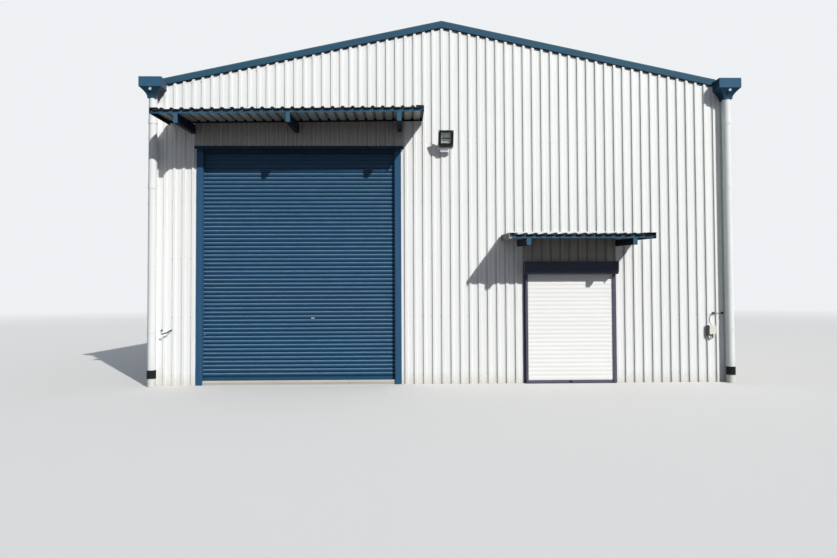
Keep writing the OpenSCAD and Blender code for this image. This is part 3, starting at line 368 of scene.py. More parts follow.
def head_paint(name, color):
    """Rainwater heads: painted shade on the funnel and on the faces turned left, dusty on the right"""
    paint = Paint(name)
    shade = paint.tone(color, paint.noise(0.3), 0.85, 1.15)
    # Painted shade: faces turned left, away from the key light, and the funnel below the box are darkened
    left = paint.ramp(paint.facing()[0], -0.8, -0.4, 0.85, 0.0)
    funnel = paint.ramp(paint.z, 5.457, 5.467, 0.5, 0.0)
    shade = paint.mix(paint.most(left, funnel), shade, (0.006, 0.018, 0.035))
    dust = paint.times(paint.ramp(paint.facing()[0], 0.5, 0.9), paint.patchy(0.08, 0.2, 0.5, 4.0))
    shade = paint.mix(dust, shade, (0.16, 0.14, 0.13))
    paint.bump(paint.noise(0.004, 2.0), 0.0002, 0.5)
    return paint.base(shade, paint.patchy(0.2, 0.42, 0.55), specular=0.08)


def surround_paint(name, color):
    """Door flashings and lintels: scuffed low down, and painted shade at the main door's head"""
    paint = Paint(name)
    shade = paint.tone(color, paint.noise((0.1, 0.1, 0.9)), 0.88, 1.15)
    # Painted shade: darker above the main door's opening
    head = paint.ramp(paint.z, 4.3, 4.34, 0.0, 0.75)
    shade = paint.mix(head, shade, (0.005, 0.014, 0.03))
    scuff = paint.times(paint.ramp(paint.noise((0.05, 0.05, 0.3), 5.0), 0.6, 0.75, 0.0, 0.25),
                        paint.ramp(paint.z, 0.2, 1.4, 1.0, 0.2))
    shade = paint.mix(scuff, shade, (0.12, 0.19, 0.25))
    paint.bump(paint.noise((0.05, 0.05, 0.4), 2.0), 0.0008, 0.5)
    return paint.base(shade, paint.patchy(0.2, 0.4, 0.52), specular=0.12)


def beam_paint(name, color):
    """Canopy beams: blue end plates, sides painted near-black as shade, with a bloom of rust at the wall"""
    paint = Paint(name)
    shade = paint.tone(color, paint.noise(0.05), 0.85, 1.15)
    # Painted shade: the faces that don't face forward are near-black navy
    side = paint.tone((0.007, 0.012, 0.022), paint.noise((0.05, 0.3, 0.05)), 0.6, 1.5)
    shade = paint.mix(paint.ramp(paint.facing()[1], -0.9, -0.6), shade, side)
    rust = paint.times(paint.ramp(paint.y, -7.7, -7.54),
                       paint.ramp(paint.noise(0.02, 5.0), 0.55, 0.72, 0.0, 0.4))
    shade = paint.mix(rust, shade, (0.05, 0.022, 0.01))
    paint.bump(paint.noise(0.004, 2.0), 0.0003, 0.5)
    return paint.base(shade, paint.patchy(0.1, 0.4, 0.55), specular=0.06)


def slat_paint(name, color, joint, dust, dust_and_light_share, foot=0.145, joint_share=0.7, spread=0.065):
    """Roller shutter slats: a tone to each slat, dirt in the joints, dust and painted light on the upper
    faces
    """
    paint = Paint(name)
    height = paint.minus(paint.z, foot)
    shade = paint.tone(color, paint.step_level(height, SLAT_PITCH, 7.0), 1 - spread, 1 + spread)
    cloud = paint.ramp(paint.noise((0.8, 0.5, 0.35), 4.0), 0.3, 0.75, 0.0, 0.28)
    shade = paint.mix(cloud, shade, scaled(color, 1.25))
    # Upper faces take the dust colour, which also paints light: a highlight on the blue shutter, shade on the
    # white one
    dust_and_painted_light = paint.ramp(paint.facing()[2], 0.1, 0.75, 0.0, dust_and_light_share)
    grime = paint.times(dust_and_painted_light, paint.ramp(paint.noise((0.2, 0.05, 0.05), 5.0), 0.25, 0.7, 0.7, 1.0))
    shade = paint.mix(grime, shade, dust)
    near = paint.math("PINGPONG", height, SLAT_PITCH / 2)
    shade = paint.mix(paint.ramp(near, 0.002, 0.012, joint_share, 0.0), shade, joint)
    streak = paint.ramp(paint.noise((0.03, 0.2, 0.9), 4.0), 0.55, 0.8, 0.0, 0.12)
    shade = paint.mix(streak, shade, joint)
    paint.bump(paint.noise((0.25, 0.02, 0.02), 3.0), 0.0006, 0.6)
    return paint.base(shade, paint.patchy(0.15, 0.4, 0.52), specular=0.15)


def galvanised(name, color):
    """Zinc coat with its spangle, dull in patches"""
    paint = Paint(name)
    spangle = paint.cells(0.014)
    shade = paint.tone(color, spangle, 0.8, 1.08)
    dull = paint.ramp(paint.noise(0.3, 4.0), 0.4, 0.75, 0.0, 0.4)
    shade = paint.mix(dull, shade, (0.5, 0.51, 0.5))
    paint.bump(paint.noise(0.01, 2.0), 0.0002, 0.4)
    return paint.base(shade, paint.ramp(spangle, 0.0, 1.0, 0.36, 0.58), 0.7, 0.5)


def concrete(name, color):
    """Floated slab: mottled, with fine aggregate, trowel arcs and sawn joints"""
    paint = Paint(name)
    half_bay_x, half_bay_y = 1.739, 1.875
    shade = paint.tone(color, paint.noise(1.3, 5.0), 0.82, 1.12)
    speck = paint.ramp(paint.cells(0.006), 0.8, 1.0, 0.0, 0.35)
    shade = paint.mix(speck, shade, (0.62, 0.6, 0.56))
    joints = paint.math("MINIMUM", paint.math("PINGPONG", paint.plus(paint.x, half_bay_x), half_bay_x),
                        paint.math("PINGPONG", paint.plus(paint.y, half_bay_y), half_bay_y))
    shade = paint.mix(paint.ramp(joints, 0.002, 0.004, 0.85, 0.0), shade, (0.08, 0.08, 0.08))
    pits = paint.bump(paint.noise(0.006, 3.0), 0.0008, 0.6)
    paint.bump(paint.noise((0.5, 0.06, 0.1), 2.0), 0.0012, 0.4, pits)
    return paint.base(shade, paint.patchy(0.4, 0.6, 0.85))


def plaster(name, color):
    """Painted plaster over blocks: float marks, faint courses, streaks from above and a damp foot"""
    paint = Paint(name)
    half_course = 0.1
    shade = paint.tone(color, paint.noise(1.1, 5.0), 0.86, 1.05)
    streak = paint.ramp(paint.noise((0.12, 0.12, 2.2), 5.0), 0.5, 0.8, 0.0, 0.35)
    shade = paint.mix(streak, shade, (0.46, 0.45, 0.41))
    damp = paint.plus(paint.z, paint.times(paint.noise(0.4, 4.0), 0.6))
    shade = paint.mix(paint.ramp(damp, 0.2, 0.9, 0.5, 0.0), shade, (0.42, 0.39, 0.33))
    course = paint.math("PINGPONG", paint.z, half_course)
    courses = paint.bump(paint.ramp(course, 0.0, 0.008), 0.0006, 0.5)
    floated = paint.bump(paint.noise((0.3, 0.3, 0.12), 3.0), 0.004, 0.5, courses)
    paint.bump(paint.noise(0.004, 2.0), 0.0006, 0.6, floated)
    return paint.base(shade, paint.patchy(0.3, 0.78, 0.92))


def rooflight(name, color):
    """Translucent sheet with glass fibres and a little dirt"""
    paint = Paint(name)
    fibre = paint.ramp(paint.noise((0.004, 0.05, 0.05), 5.0), 0.4, 0.7)
    shade = paint.tone(color, fibre, 0.9, 1.05)
    dirt = paint.ramp(paint.noise((0.4, 0.08, 0.4), 5.0), 0.45, 0.8, 0.0, 0.4)
    shade = paint.mix(dirt, shade, (0.52, 0.52, 0.44))
    paint.bump(fibre, 0.0004, 0.4)
    paint.put(paint.shader.inputs["Alpha"], 0.78)
    paint.put(paint.shader.inputs["Transmission Weight"], 0.25)
    return paint.base(shade, paint.ramp(dirt, 0.0, 0.4, 0.28, 0.5))


def pipe_plastic(name, color):
    """Weathered PVC pipe: painted shade, greenish, on the left, dirt low down, and a dark boot band near the
    ground
    """
    paint = Paint(name)
    shade = paint.tone(color, paint.noise((0.2, 0.2, 0.5), 4.0), 0.92, 1.03)
    # Painted shade: greener and darker on the faces turned left, away from the key light
    shaded_left_side = paint.ramp(paint.facing()[0], -0.95, 0.1, 0.6, 0.0)
    shade = paint.mix(shaded_left_side, shade, (0.45, 0.56, 0.52))
    low = paint.plus(paint.z, paint.times(paint.noise(0.1, 4.0), 0.5))
    shade = paint.mix(paint.ramp(low, 0.3, 0.9, 0.4, 0.0), shade, (0.5, 0.47, 0.4))
    shade = paint.mix(paint.band(paint.z, 0.15, 0.302), shade, (0.012, 0.012, 0.014))
    paint.bump(paint.noise((0.01, 0.01, 0.06), 2.0), 0.0003, 0.4)
    return paint.base(shade, paint.patchy(0.1, 0.45, 0.62), specular=0.12)


def cast_black(name, color):
    """Black powder coat, greyed by the sun"""
    paint = Paint(name)
    shade = paint.tone(color, paint.noise(0.08, 4.0), 0.6, 1.5)
    up = paint.ramp(paint.facing()[2], 0.2, 1.0, 0.0, 0.25)
    shade = paint.mix(up, shade, (0.1, 0.1, 0.095))
    paint.bump(paint.noise(0.0012, 2.0), 0.0002, 0.8)
    return paint.base(shade, paint.patchy(0.05, 0.5, 0.7), specular=0.15)


def rusty_bar(name, color):
    """Black painted bar with a little rust coming through"""
    paint = Paint(name)
    rust = paint.ramp(paint.noise(0.02, 6.0, 0.65), 0.6, 0.7)
    rusty = paint.tone((0.07, 0.03, 0.014), paint.noise(0.006, 4.0), 0.5, 1.4)
    shade = paint.mix(rust, paint.tone(color, paint.noise(0.03), 0.7, 1.4), rusty)
    paint.bump(paint.times(rust, paint.noise(0.003, 3.0)), 0.0008, 0.9)
    return paint.base(shade, paint.ramp(rust, 0.0, 1.0, 0.45, 0.85))


def isolator_plastic(name, color):
    """Cream moulded cover, the tails below black, and the switch housing beside it painted black as the box's
    shadow
    """
    paint = Paint(name)
    cream = paint.tone(color, paint.noise(0.03, 3.0), 0.93, 1.03)
    grime = paint.ramp(paint.noise((0.008, 0.02, 0.06), 4.0), 0.5, 0.8, 0.0, 0.3)
    cream = paint.mix(grime, cream, (0.5, 0.47, 0.38))
    # Painted shadow: the switch housing beside the box is black, standing in for the box's shadow
    housing = paint.ramp(paint.x, 4.9732, 4.9738, 1.0, 0.0)
    tails = paint.ramp(paint.z, 0.8935, 0.8945, 1.0, 0.0)
    black = paint.tone((0.03, 0.03, 0.033), paint.noise(0.02), 0.7, 1.5)
    shade = paint.mix(paint.most(housing, tails), cream, black)
    paint.bump(paint.noise(0.0015, 2.0), 0.0001, 0.6)
    return paint.base(shade, paint.patchy(0.04, 0.35, 0.5))


def cable_rubber(name, color):
    """Grey sheath, bleached on the bow that stands clear of the wall"""
    paint = Paint(name)
    bleach = paint.ramp(paint.z, 1.12, 1.24)
    shade = paint.mix(bleach, paint.tone(color, paint.noise(0.03), 0.8, 1.15), (0.26, 0.28, 0.25))
    paint.bump(paint.noise((0.004, 0.004, 0.03), 2.0), 0.0002, 0.5)
    return paint.base(shade, paint.patchy(0.05, 0.5, 0.65))


def lamp_glass(name, color):
    """Front glass of the floodlight, clear with a little dust"""
    paint = Paint(name)
    dust = paint.ramp(paint.noise(0.03, 5.0), 0.4, 0.8)
    paint.put(paint.shader.inputs["Alpha"], 0.2)
    shade = paint.tone(color, dust, 0.7, 1.2)
    return paint.base(shade, paint.ramp(dust, 0.0, 1.0, 0.05, 0.2), 0.0, 0.6)


def bright_metal(name, color, rough=0.3, metallic=0.9):
    """Polished or plated metal with fine marks"""
    paint = Paint(name)
    shade = paint.tone(color, paint.noise(0.01, 4.0), 0.8, 1.1)
    paint.bump(paint.noise(0.002, 2.0), 0.0001, 0.5)
    return paint.base(shade, paint.patchy(0.008, rough, rough + 0.15), metallic, 0.5)


def rubber(name, color, dust=0.3):
    """Matt rubber or foam, dusty in patches"""
    paint = Paint(name)
    shade = paint.tone(color, paint.noise(0.05, 4.0), 0.7, 1.3)
    shade = paint.mix(paint.ramp(paint.noise(0.02, 5.0), 0.5, 0.8, 0.0, dust), shade, (0.3, 0.28, 0.24))
    paint.bump(paint.noise(0.003, 2.0), 0.0003, 0.6)
    return paint.base(shade, paint.patchy(0.04, 0.7, 0.88), specular=0.1)


class Shape:
    """Mesh of one piece, gathered from lofts, and made in one go"""

    def __init__(self):
        self.points = []
        self.faces = []

    def loft(self, rings):
        """Closed skin through rings of points, with flat ends"""
        start, size = len(self.points), len(rings[0])
        for ring in rings:
            self.points.extend(ring)
        for level in range(len(rings) - 1):
            low, high = start + level * size, start + (level + 1) * size
            for i in range(size):
                j = (i + 1) % size
                self.faces.append((low + i, low + j, high + j, high + i))
        self.faces.append(tuple(start + i for i in reversed(range(size))))
        self.faces.append(tuple(len(self.points) - size + i for i in range(size)))

    def turned(self, foot, way, steps, sides=12):
        """Turned form: steps lists radius and height along way from the foot"""
        way = Vector(way).normalized()
        side = way.orthogonal().normalized()
        other = way.cross(side)
        turns = [2 * math.pi * i / sides for i in range(sides)]
        self.loft([[Vector(foot) + height * way + radius * (math.cos(t) * side + math.sin(t) * other)
                    for t in turns] for radius, height in steps])

    def screw(self, foot, way):
        """Hexagon head on its sealing washer"""
        self.turned(foot, way, [(0.0082, -0.0005), (0.0082, 0.0012), (0.0062, 0.0018)], 10)
        self.turned(foot, way, [(0.0052, 0.0010), (0.0052, 0.0050), (0.0044, 0.0056)], 6)

    def rivet(self, foot, way, radius=0.0045):
        """Low domed head"""
        self.turned(foot, way, [(radius, -0.0005), (radius, 0.0005), (radius * 0.75, 0.0016),
                                (radius * 0.3, 0.0022)], 8)

    def tube(self, path, radius, sides=10):
        """Round bar through the points of a path"""
        rings = []
        for i, point in enumerate(path):
            before, after = path[max(i - 1, 0)], path[min(i + 1, len(path) - 1)]
            ahead = (Vector(after) - Vector(before)).normalized()
            side = ahead.cross(Vector((0.31, 0.17, 0.93))).normalized()
            other = ahead.cross(side)
            rings.append([Vector(point) + radius * (math.cos(t) * side + math.sin(t) * other)
                          for t in (2 * math.pi * k / sides for k in range(sides))])
        self.loft(rings)

    def make(self, name, material, slot):
        mesh = bpy.data.meshes.new(name)
        mesh.from_pydata([tuple(p) for p in self.points], [], self.faces)
        mesh.materials.append(material)
        piece = bpy.data.objects.new(name, mesh)
        bpy.context.scene.collection.objects.link(piece)
        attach(piece, BODY)
        return piece


def add_camera():
    """Camera at the photograph's place and angle"""
    pitch, yaw, roll = CAMERA_PITCH, CAMERA_YAW, CAMERA_ROLL
    ahead = Vector((math.sin(yaw) * math.cos(pitch), math.cos(yaw) * math.cos(pitch), math.sin(pitch)))
    level = Vector((math.cos(yaw), -math.sin(yaw), 0))
    raised = level.cross(ahead)
    right = math.cos(roll) * level + math.sin(roll) * raised
    up = math.cos(roll) * raised - math.sin(roll) * level
    data = bpy.data.cameras.new("camera")
    data.sensor_fit = "HORIZONTAL"
    data.lens = data.sensor_width * FOCAL_PX / PHOTO_W
    data.clip_end = CAMERA_REACH
    camera = bpy.data.objects.new("camera", data)
    camera.matrix_world = Matrix((right, up, -ahead)).transposed().to_4x4()
    camera.location = CAMERA_AT
    bpy.context.scene.collection.objects.link(camera)
    bpy.context.scene.camera = camera


def add_key_light():
    data = bpy.data.lights.new("key", "SUN")
    data.energy = KEY_STRENGTH
    data.angle = KEY_SIZE
    data.color = KEY_COLOR
    lamp = bpy.data.objects.new("key", data)
    lamp.rotation_euler = KEY_WAY.to_track_quat("-Z", "Y").to_euler()
    lamp.location = -KEY_AWAY * KEY_WAY
    bpy.context.scene.collection.objects.link(lamp)


def seen_directly(tree):
    """One for what the camera sees, straight, in a gloss or through glass"""
    rays = tree.nodes.new("ShaderNodeLightPath")
    level = rays.outputs["Is Camera Ray"]
    for name in ("Is Glossy Ray", "Is Transmission Ray"):
        node = tree.nodes.new("ShaderNodeMath")
        node.operation = "MAXIMUM"
        tree.links.new(level, node.inputs[0])
        tree.links.new(rays.outputs[name], node.inputs[1])
        level = node.outputs[0]
    return level


def add_sky():
    """Soft light, stronger from above, and a pale backdrop for the camera, for gloss and through glass"""
    world = bpy.data.worlds.new("sky")
    bpy.context.scene.world = world
    world.use_nodes = True
    tree = world.node_tree
    light = tree.nodes["Background"]
    light.inputs["Color"].default_value = SKY_COLOR
    height = tree.nodes.new("ShaderNodeSeparateXYZ")
    tree.links.new(tree.nodes.new("ShaderNodeTexCoord").outputs["Generated"], height.inputs[0])
    level = tree.nodes.new("ShaderNodeMapRange")
    for socket, value in zip(list(level.inputs)[1:5], (0.0, SKY_FULL, SKY_LOW, SKY_HIGH)):
        socket.default_value = value
    tree.links.new(height.outputs[2], level.inputs[0])
    tree.links.new(level.outputs[0], light.inputs["Strength"])
    backdrop = tree.nodes.new("ShaderNodeBackground")
    backdrop.inputs["Color"].default_value = BACKDROP
    mix = tree.nodes.new("ShaderNodeMixShader")
    tree.links.new(seen_directly(tree), mix.inputs[0])
    tree.links.new(light.outputs[0], mix.inputs[1])
    tree.links.new(backdrop.outputs[0], mix.inputs[2])
    tree.links.new(mix.outputs[0], tree.nodes["World Output"].inputs["Surface"])


def floor_paint():
    """Pale for the camera, darker for the light it throws back, and lost in the backdrop far away"""
    paint = Paint("floor_pale")
    tree = paint.tree
    paint.base(paint.mix(seen_directly(tree), FLOOR_BOUNCE, FLOOR_SEEN), 0.9, 0.0, 0.1)
    reach = paint.add("ShaderNodeVectorMath", operation="LENGTH")
    paint.put(reach.inputs[0], paint.coords)
    far = paint.ramp(reach.outputs["Value"], FADE_FROM, FADE_TO)
    haze = paint.add("ShaderNodeEmission")
    paint.put(haze.inputs["Color"], BACKDROP)
    mix = paint.add("ShaderNodeMixShader")
    paint.put(mix.inputs[0], paint.times(far, seen_directly(tree)))
    paint.put(mix.inputs[1], paint.shader.outputs[0])
    paint.put(mix.inputs[2], haze.outputs[0])
    paint.put(tree.nodes["Material Output"].inputs["Surface"], mix.outputs[0])
    return paint.material


def add_floor():
    bpy.ops.mesh.primitive_circle_add(vertices=96, radius=FLOOR_RADIUS, fill_type="NGON",
                                      location=(0, 0, -0.001))
    floor = bpy.context.object
    floor.name = "floor"
    floor.data.materials.append(floor_paint())


# Finish of each material slot of the record, and the colours that differ from the record's
RECIPES = {
    "concrete": concrete, "plastered_masonry": plaster, "galvanised_steel": galvanised,
    "white_sheeting": wall_sheeting, "rooflight": rooflight, "white_pvc": pipe_plastic,
    "dark_metal": cast_black, "cream_plastic": isolator_plastic, "lamp_glass": lamp_glass,
    "cable_sheath": cable_rubber, "frame_steel": coated_steel, "blue_flashing": coated_steel,
    "blue_steel": coated_steel, "navy_trim": coated_steel,
    "roof_sheeting": partial(dark_sheeting, under=(0.5, 0.5, 0.46)),
    "navy_sheeting": partial(dark_sheeting, under=(0.55, 0.56, 0.5)),
    # The blue shutter's pale upper faces are dust and painted highlight; the white shutter's darker upper
    # faces are painted shade that evens out its banding
    "blue_shutter": partial(slat_paint, joint=(0.004, 0.018, 0.04), dust=(0.16, 0.3, 0.42),
                            dust_and_light_share=0.85),
    "white_shutter": partial(slat_paint, joint=(0.8, 0.78, 0.7), dust=(0.72, 0.72, 0.7), foot=0.062,
                             dust_and_light_share=0.75, joint_share=0.08, spread=0.01),
}
COLORS = {m["slot"]: tuple(m["base_color"][:3]) for m in frame["record"]["materials"]}
COLORS.update({
    "navy_sheeting": (0.012, 0.02, 0.042),
    "blue_flashing": (0.036, 0.108, 0.19),
    "blue_shutter": (0.016, 0.062, 0.13),
    "white_shutter": (0.9, 0.9, 0.89),
    "white_pvc": (0.84, 0.86, 0.855),
    "dark_metal": (0.018, 0.019, 0.02),
    "lamp_glass": (0.16, 0.2, 0.18),
})
SLOTS = {s["node"]: s["material_slot"] for s in frame["record"]["subparts"]}
materials = {name: RECIPES[name](name, color) for name, color in COLORS.items()}

# Nodes whose finish differs from that of their slot
TRIM_BLUE = COLORS["blue_flashing"]
CANOPY_NAVY = (0.008, 0.013, 0.026)
BARGE_BLUE = (0.033, 0.094, 0.15)
BEAM_BLUE = (0.05, 0.13, 0.2)
SPECIAL = {
    "wall_hook": rusty_bar("hook_bar", (0.008, 0.008, 0.012)),
    "main_door_surround": surround_paint("door_surround_blue", (0.028, 0.09, 0.18)),
    "main_canopy_sheet": dark_sheeting("main_canopy_navy", CANOPY_NAVY, (0.6, 0.61, 0.56),
                                       MAIN_CANOPY.first_rib),
    "side_canopy_sheet": dark_sheeting("side_canopy_navy", CANOPY_NAVY, (0.5, 0.5, 0.44),
                                       SIDE_CANOPY.first_rib),
    "barge_flashings_front": barge_paint("front_barge_blue", BARGE_BLUE),
    "barge_flashings_rear": barge_paint("rear_barge_blue", BARGE_BLUE),
    "rainwater_heads_front": head_paint("front_head_blue", TRIM_BLUE),
    "rainwater_heads_rear": head_paint("rear_head_blue", TRIM_BLUE),
    "main_canopy_beams": beam_paint("main_beam_blue", BEAM_BLUE),
    "side_canopy_beams": beam_paint("side_beam_blue", BEAM_BLUE),
    "door_lintels": surround_paint("lintel_navy", (0.004, 0.012, 0.026)),
    "side_shutter_guides": coated_steel("side_guide_grey", (0.1, 0.095, 0.14)),
    "side_shutter_rail": coated_steel("side_rail_grey", (0.12, 0.11, 0.15)),
    "side_shutter_hood": coated_steel("hood_navy", (0.048, 0.055, 0.085)),
    "main_canopy_flashings": canopy_trim("main_canopy_blue", TRIM_BLUE, apron_z=4.965, lip_z=4.857,
                                         lean=MAIN_CANOPY.lean),
    "side_canopy_flashings": canopy_trim("side_canopy_blue", TRIM_BLUE, apron_z=2.757, lip_z=2.650,
                                         glint_x=1.135),
}
for name, node in frame["nodes"].items():
    node.data.materials.clear()
    node.data.materials.append(SPECIAL.get(name, materials[SLOTS[name]]))

# Finishes of the pieces added below
plated = bright_metal("plated_steel", (0.6, 0.6, 0.58))
reflector_metal = bright_metal("reflector_metal", (0.85, 0.9, 0.87), 0.25, 0.2)
grey_washer = bright_metal("screw_zinc", (0.4, 0.41, 0.41), 0.45)
black_rubber = rubber("black_rubber", (0.015, 0.015, 0.016))
# Near-black foam; under the barges it stands in for the barge's shadow
foam = rubber("closure_foam", (0.008, 0.009, 0.016), 0.03)
nosing_steel = coated_steel("nosing_paint", (0.6, 0.58, 0.5), 0.6, 0.4, (0.3, 0.24, 0.16))
lock_zinc = coated_steel("lock_zinc", (0.42, 0.44, 0.44), 0.4, 0.0)
lamp_white = coated_steel("lamp_ceramic", (0.85, 0.86, 0.84), 0.4, 0.0)


def roof_z(x):
    return ROOF_TOP - ROOF_FALL * abs(x)


def add_wall_screws():
    """Screws beside the ribs on every girt and under the roof's edge, save where something covers them"""
    # From and to across, then from and to upwards, for what covers the front wall
    main_door = (-4.62, -0.71, 0.0, 4.45)
    side_door = (1.48, 3.25, 0.0, 2.28)
    main_canopy = (-5.06, -0.36, 4.75, 5.0)
    side_canopy = (1.07, 3.63, 2.64, 2.84)
    isolator = (4.9, 5.12, 0.7, 1.1)
    covered = (main_door, side_door, main_canopy, side_canopy, isolator)
    # The rainwater heads, on both gables, lie further out and higher than this
    head_x, head_z = 5.0, 5.0
    under_roof = 0.19
    front, rear = Shape(), Shape()
    for k in range(-29, 31):
        x = k * RIB_PITCH - SCREW_BESIDE
        for z in (*SCREW_ROWS, roof_z(x) - under_roof):
            if z > head_z and abs(x) > head_x:
                continue
            if not any(x0 < x < x1 and z0 < z < z1 for x0, x1, z0, z1 in covered):
                front.screw((x, -PAN_Y, z), FORWARD)
            rear.screw((x, PAN_Y, z), (0, 1, 0))
    front.make("wall_screws_front", grey_washer, "galvanised_steel")
    rear.make("wall_screws_rear", grey_washer, "galvanised_steel")


def add_roof_screws():
    """Screws on the ribs over each purlin, and rivets along the ridge capping"""
    capping_top, capping_x = 6.8, 0.205
    screws, rivets = Shape(), Shape()
    for side in (-1, 1):
        out = Vector((side * ROOF_FALL, 0, 1))
        for k in range(-42, 43):
            for x in PURLIN_X:
                screws.screw((side * x, k * RIB_PITCH, roof_z(x)), out)
        for k in range(-21, 22):
            foot = (side * capping_x, 2 * k * RIB_PITCH, capping_top - ROOF_FALL * capping_x)
            rivets.rivet(foot, out, 0.006)
    screws.make("roof_screws", grey_washer, "galvanised_steel")
    rivets.make("ridge_rivets", materials["roof_sheeting"], "roof_sheeting")


def add_barge_details():
    """Lap plates and rivets on the barge flashings of both gables"""
    laps = (1.35, 2.75, 4.15)
    half_w, plate_top, plate_foot = 0.04, 0.002, 0.121
    flashing_over_sheet = 0.0043
    rivet_pitch = 0.38
    plates, rivets = Shape(), Shape()
    for gable in (-1, 1):
        face = gable * BARGE_Y
        for side in (-1, 1):
            for x in laps:
                corners = ((x - half_w, plate_top), (x + half_w, plate_top),
                           (x + half_w, plate_foot), (x - half_w, plate_foot))
                ring = [(side * at, roof_z(at) + flashing_over_sheet - drop) for at, drop in corners]
                plates.loft([[Vector((a, face - gable * 0.0005, z)) for a, z in ring],
                             [Vector((a, face + gable * 0.0009, z)) for a, z in ring]])
                for dx in (-0.022, 0.022):
                    for drop in (0.025, 0.095):
                        at = x + dx
                        rivets.rivet((side * at, face + gable * 0.0008, roof_z(at) - drop), (0, gable, 0))
            for k in range(1, 14):
                at = k * rivet_pitch
                rivets.rivet((side * at, face, roof_z(at) - 0.100), (0, gable, 0))
    plates.make("barge_laps", SPECIAL["barge_flashings_front"], "blue_flashing")
    rivets.make("barge_rivets", SPECIAL["barge_flashings_front"], "blue_flashing")


def add_barge_fillers():
    """Dark foam under the barge flashings: a block in each pan, and a thin lip across the ribs. Its near
    black stands in for the barge's shadow on the wall
    """
    fillers = Shape()
    under_roof, rise = 0.1224, 0.012
    pan_y, crown_y, back_y = 7.5032, 7.5283, 7.5335

    def block(x0, x1, near, far, drop):
        """Block that follows the slope, between two places across and two depths"""
        rings = []
        for y in (near, far):
            rings.append([Vector((x, y, roof_z(x) - under_roof + up)) for x, up in
                          ((x0, rise), (x1, rise), (x1, -drop), (x0, -drop))])
        fillers.loft(rings)

    for gable in (-1, 1):
        for k in range(-30, 30):
            x = k * RIB_PITCH
            block(x + RIB_HALF, x + RIB_PITCH - RIB_HALF, gable * pan_y, gable * back_y, 0.018)
            block(x - RIB_HALF, x + RIB_HALF, gable * crown_y, gable * back_y, 0.009)
    fillers.make("barge_fillers", foam, "cable_sheath")


def rib_places(canopy, level):
    """Place across and level of each rib of a canopy, whose first rib has that level"""
    return [(canopy.first_rib + k * RIB_PITCH, level + canopy.lean * k * RIB_PITCH)
            for k in range(canopy.ribs)]


def canopy_rise(y):
    """How far a canopy has risen from its front edge"""
    return (y - CANOPY_FRONT) * CANOPY_FALL


def add_canopy_screws():
    """Screws on the canopies' ribs over the front and rear angles, and rivets under the front lip painted
    white as spots of light
    """
    front_angle_y, rear_angle_y = -8.505, -7.66
    rivet_y, rivet_r = -8.4946, 0.0085
    screws, rivets = Shape(), Shape()
    for canopy in (MAIN_CANOPY, SIDE_CANOPY):
        for x, z in rib_places(canopy, canopy.crown_z):
            for y in (front_angle_y, rear_angle_y):
                screws.screw((x, y, z + canopy_rise(y)), (-canopy.lean, -CANOPY_FALL, 1))
        # Painted highlight: white rivets stand for the spots of light under the front lip
        for x, z in rib_places(canopy, canopy.rivet_z):
            rivets.rivet((x, rivet_y, z), (0, -1, -CANOPY_FALL), rivet_r)
    screws.make("canopy_screws", grey_washer, "galvanised_steel")
    rivets.make("canopy_rivets", lamp_white, "galvanised_steel")


def add_canopy_closures():
    """Foam fillers in the ribs of the canopy sheets, where they meet the wall"""
    fillers = Shape()
    outline = ((-0.031, 0.0), (0.031, 0.0), (0.018, 0.0225), (-0.018, 0.0225))
    for canopy in (MAIN_CANOPY, SIDE_CANOPY):
        for x, z in rib_places(canopy, canopy.foam_z):
            fillers.loft([[Vector((x + dx, y, z + canopy_rise(y) + dz + canopy.lean * dx))
                           for dx, dz in outline] for y in (-7.575, -7.536)])
    fillers.make("canopy_closures", foam, "cable_sheath")


def add_door_details():
    """Rivets of the main door's surround and of the side door, the seals and the threshold's nosing"""
    rivets = Shape()
    for k in range(9):
        for x in (-4.545, -0.789):
            rivets.rivet((x, SURROUND_Y, 0.2 + 0.5 * k), FORWARD)
    for k in range(10):
        rivets.rivet((-4.45 + k * 0.398, SURROUND_Y, 4.418), FORWARD)
    rivets.make("surround_rivets", SPECIAL["main_door_surround"], "blue_flashing")

    side_rivets = Shape()
    for k in range(4):
        for x in (1.5345, 3.1955):
            side_rivets.rivet((x, -7.585, 0.25 + 0.52 * k), FORWARD, 0.006)
    for x in (1.56, 1.97, 2.366, 2.76, 3.17):
        side_rivets.rivet((x, -7.728, 2.2), FORWARD, 0.005)
    side_rivets.make("side_door_rivets", materials["navy_trim"], "navy_trim")

    seals, seal_r = Shape(), 0.0042
    seals.tube([(-4.505, -7.4560, 0.0800), (-0.829, -7.4560, 0.0800)], seal_r)
    seals.tube([(1.58, -7.5735, 0.0050), (3.152, -7.5735, 0.0050)], seal_r)
    seals.make("shutter_seals", black_rubber, "cable_sheath")

    edge = Shape()
    section = ((-7.5038, 0.043), (-7.5038, 0.0768), (-7.5020, 0.0785), (-7.4620, 0.0785), (-7.4620, 0.0752),
               (-7.5004, 0.0752), (-7.5004, 0.043))
    edge.loft([[Vector((x, y, z)) for y, z in section] for x in (-4.440, -0.894)])
    edge.make("threshold_nosing", nosing_steel, "galvanised_steel")


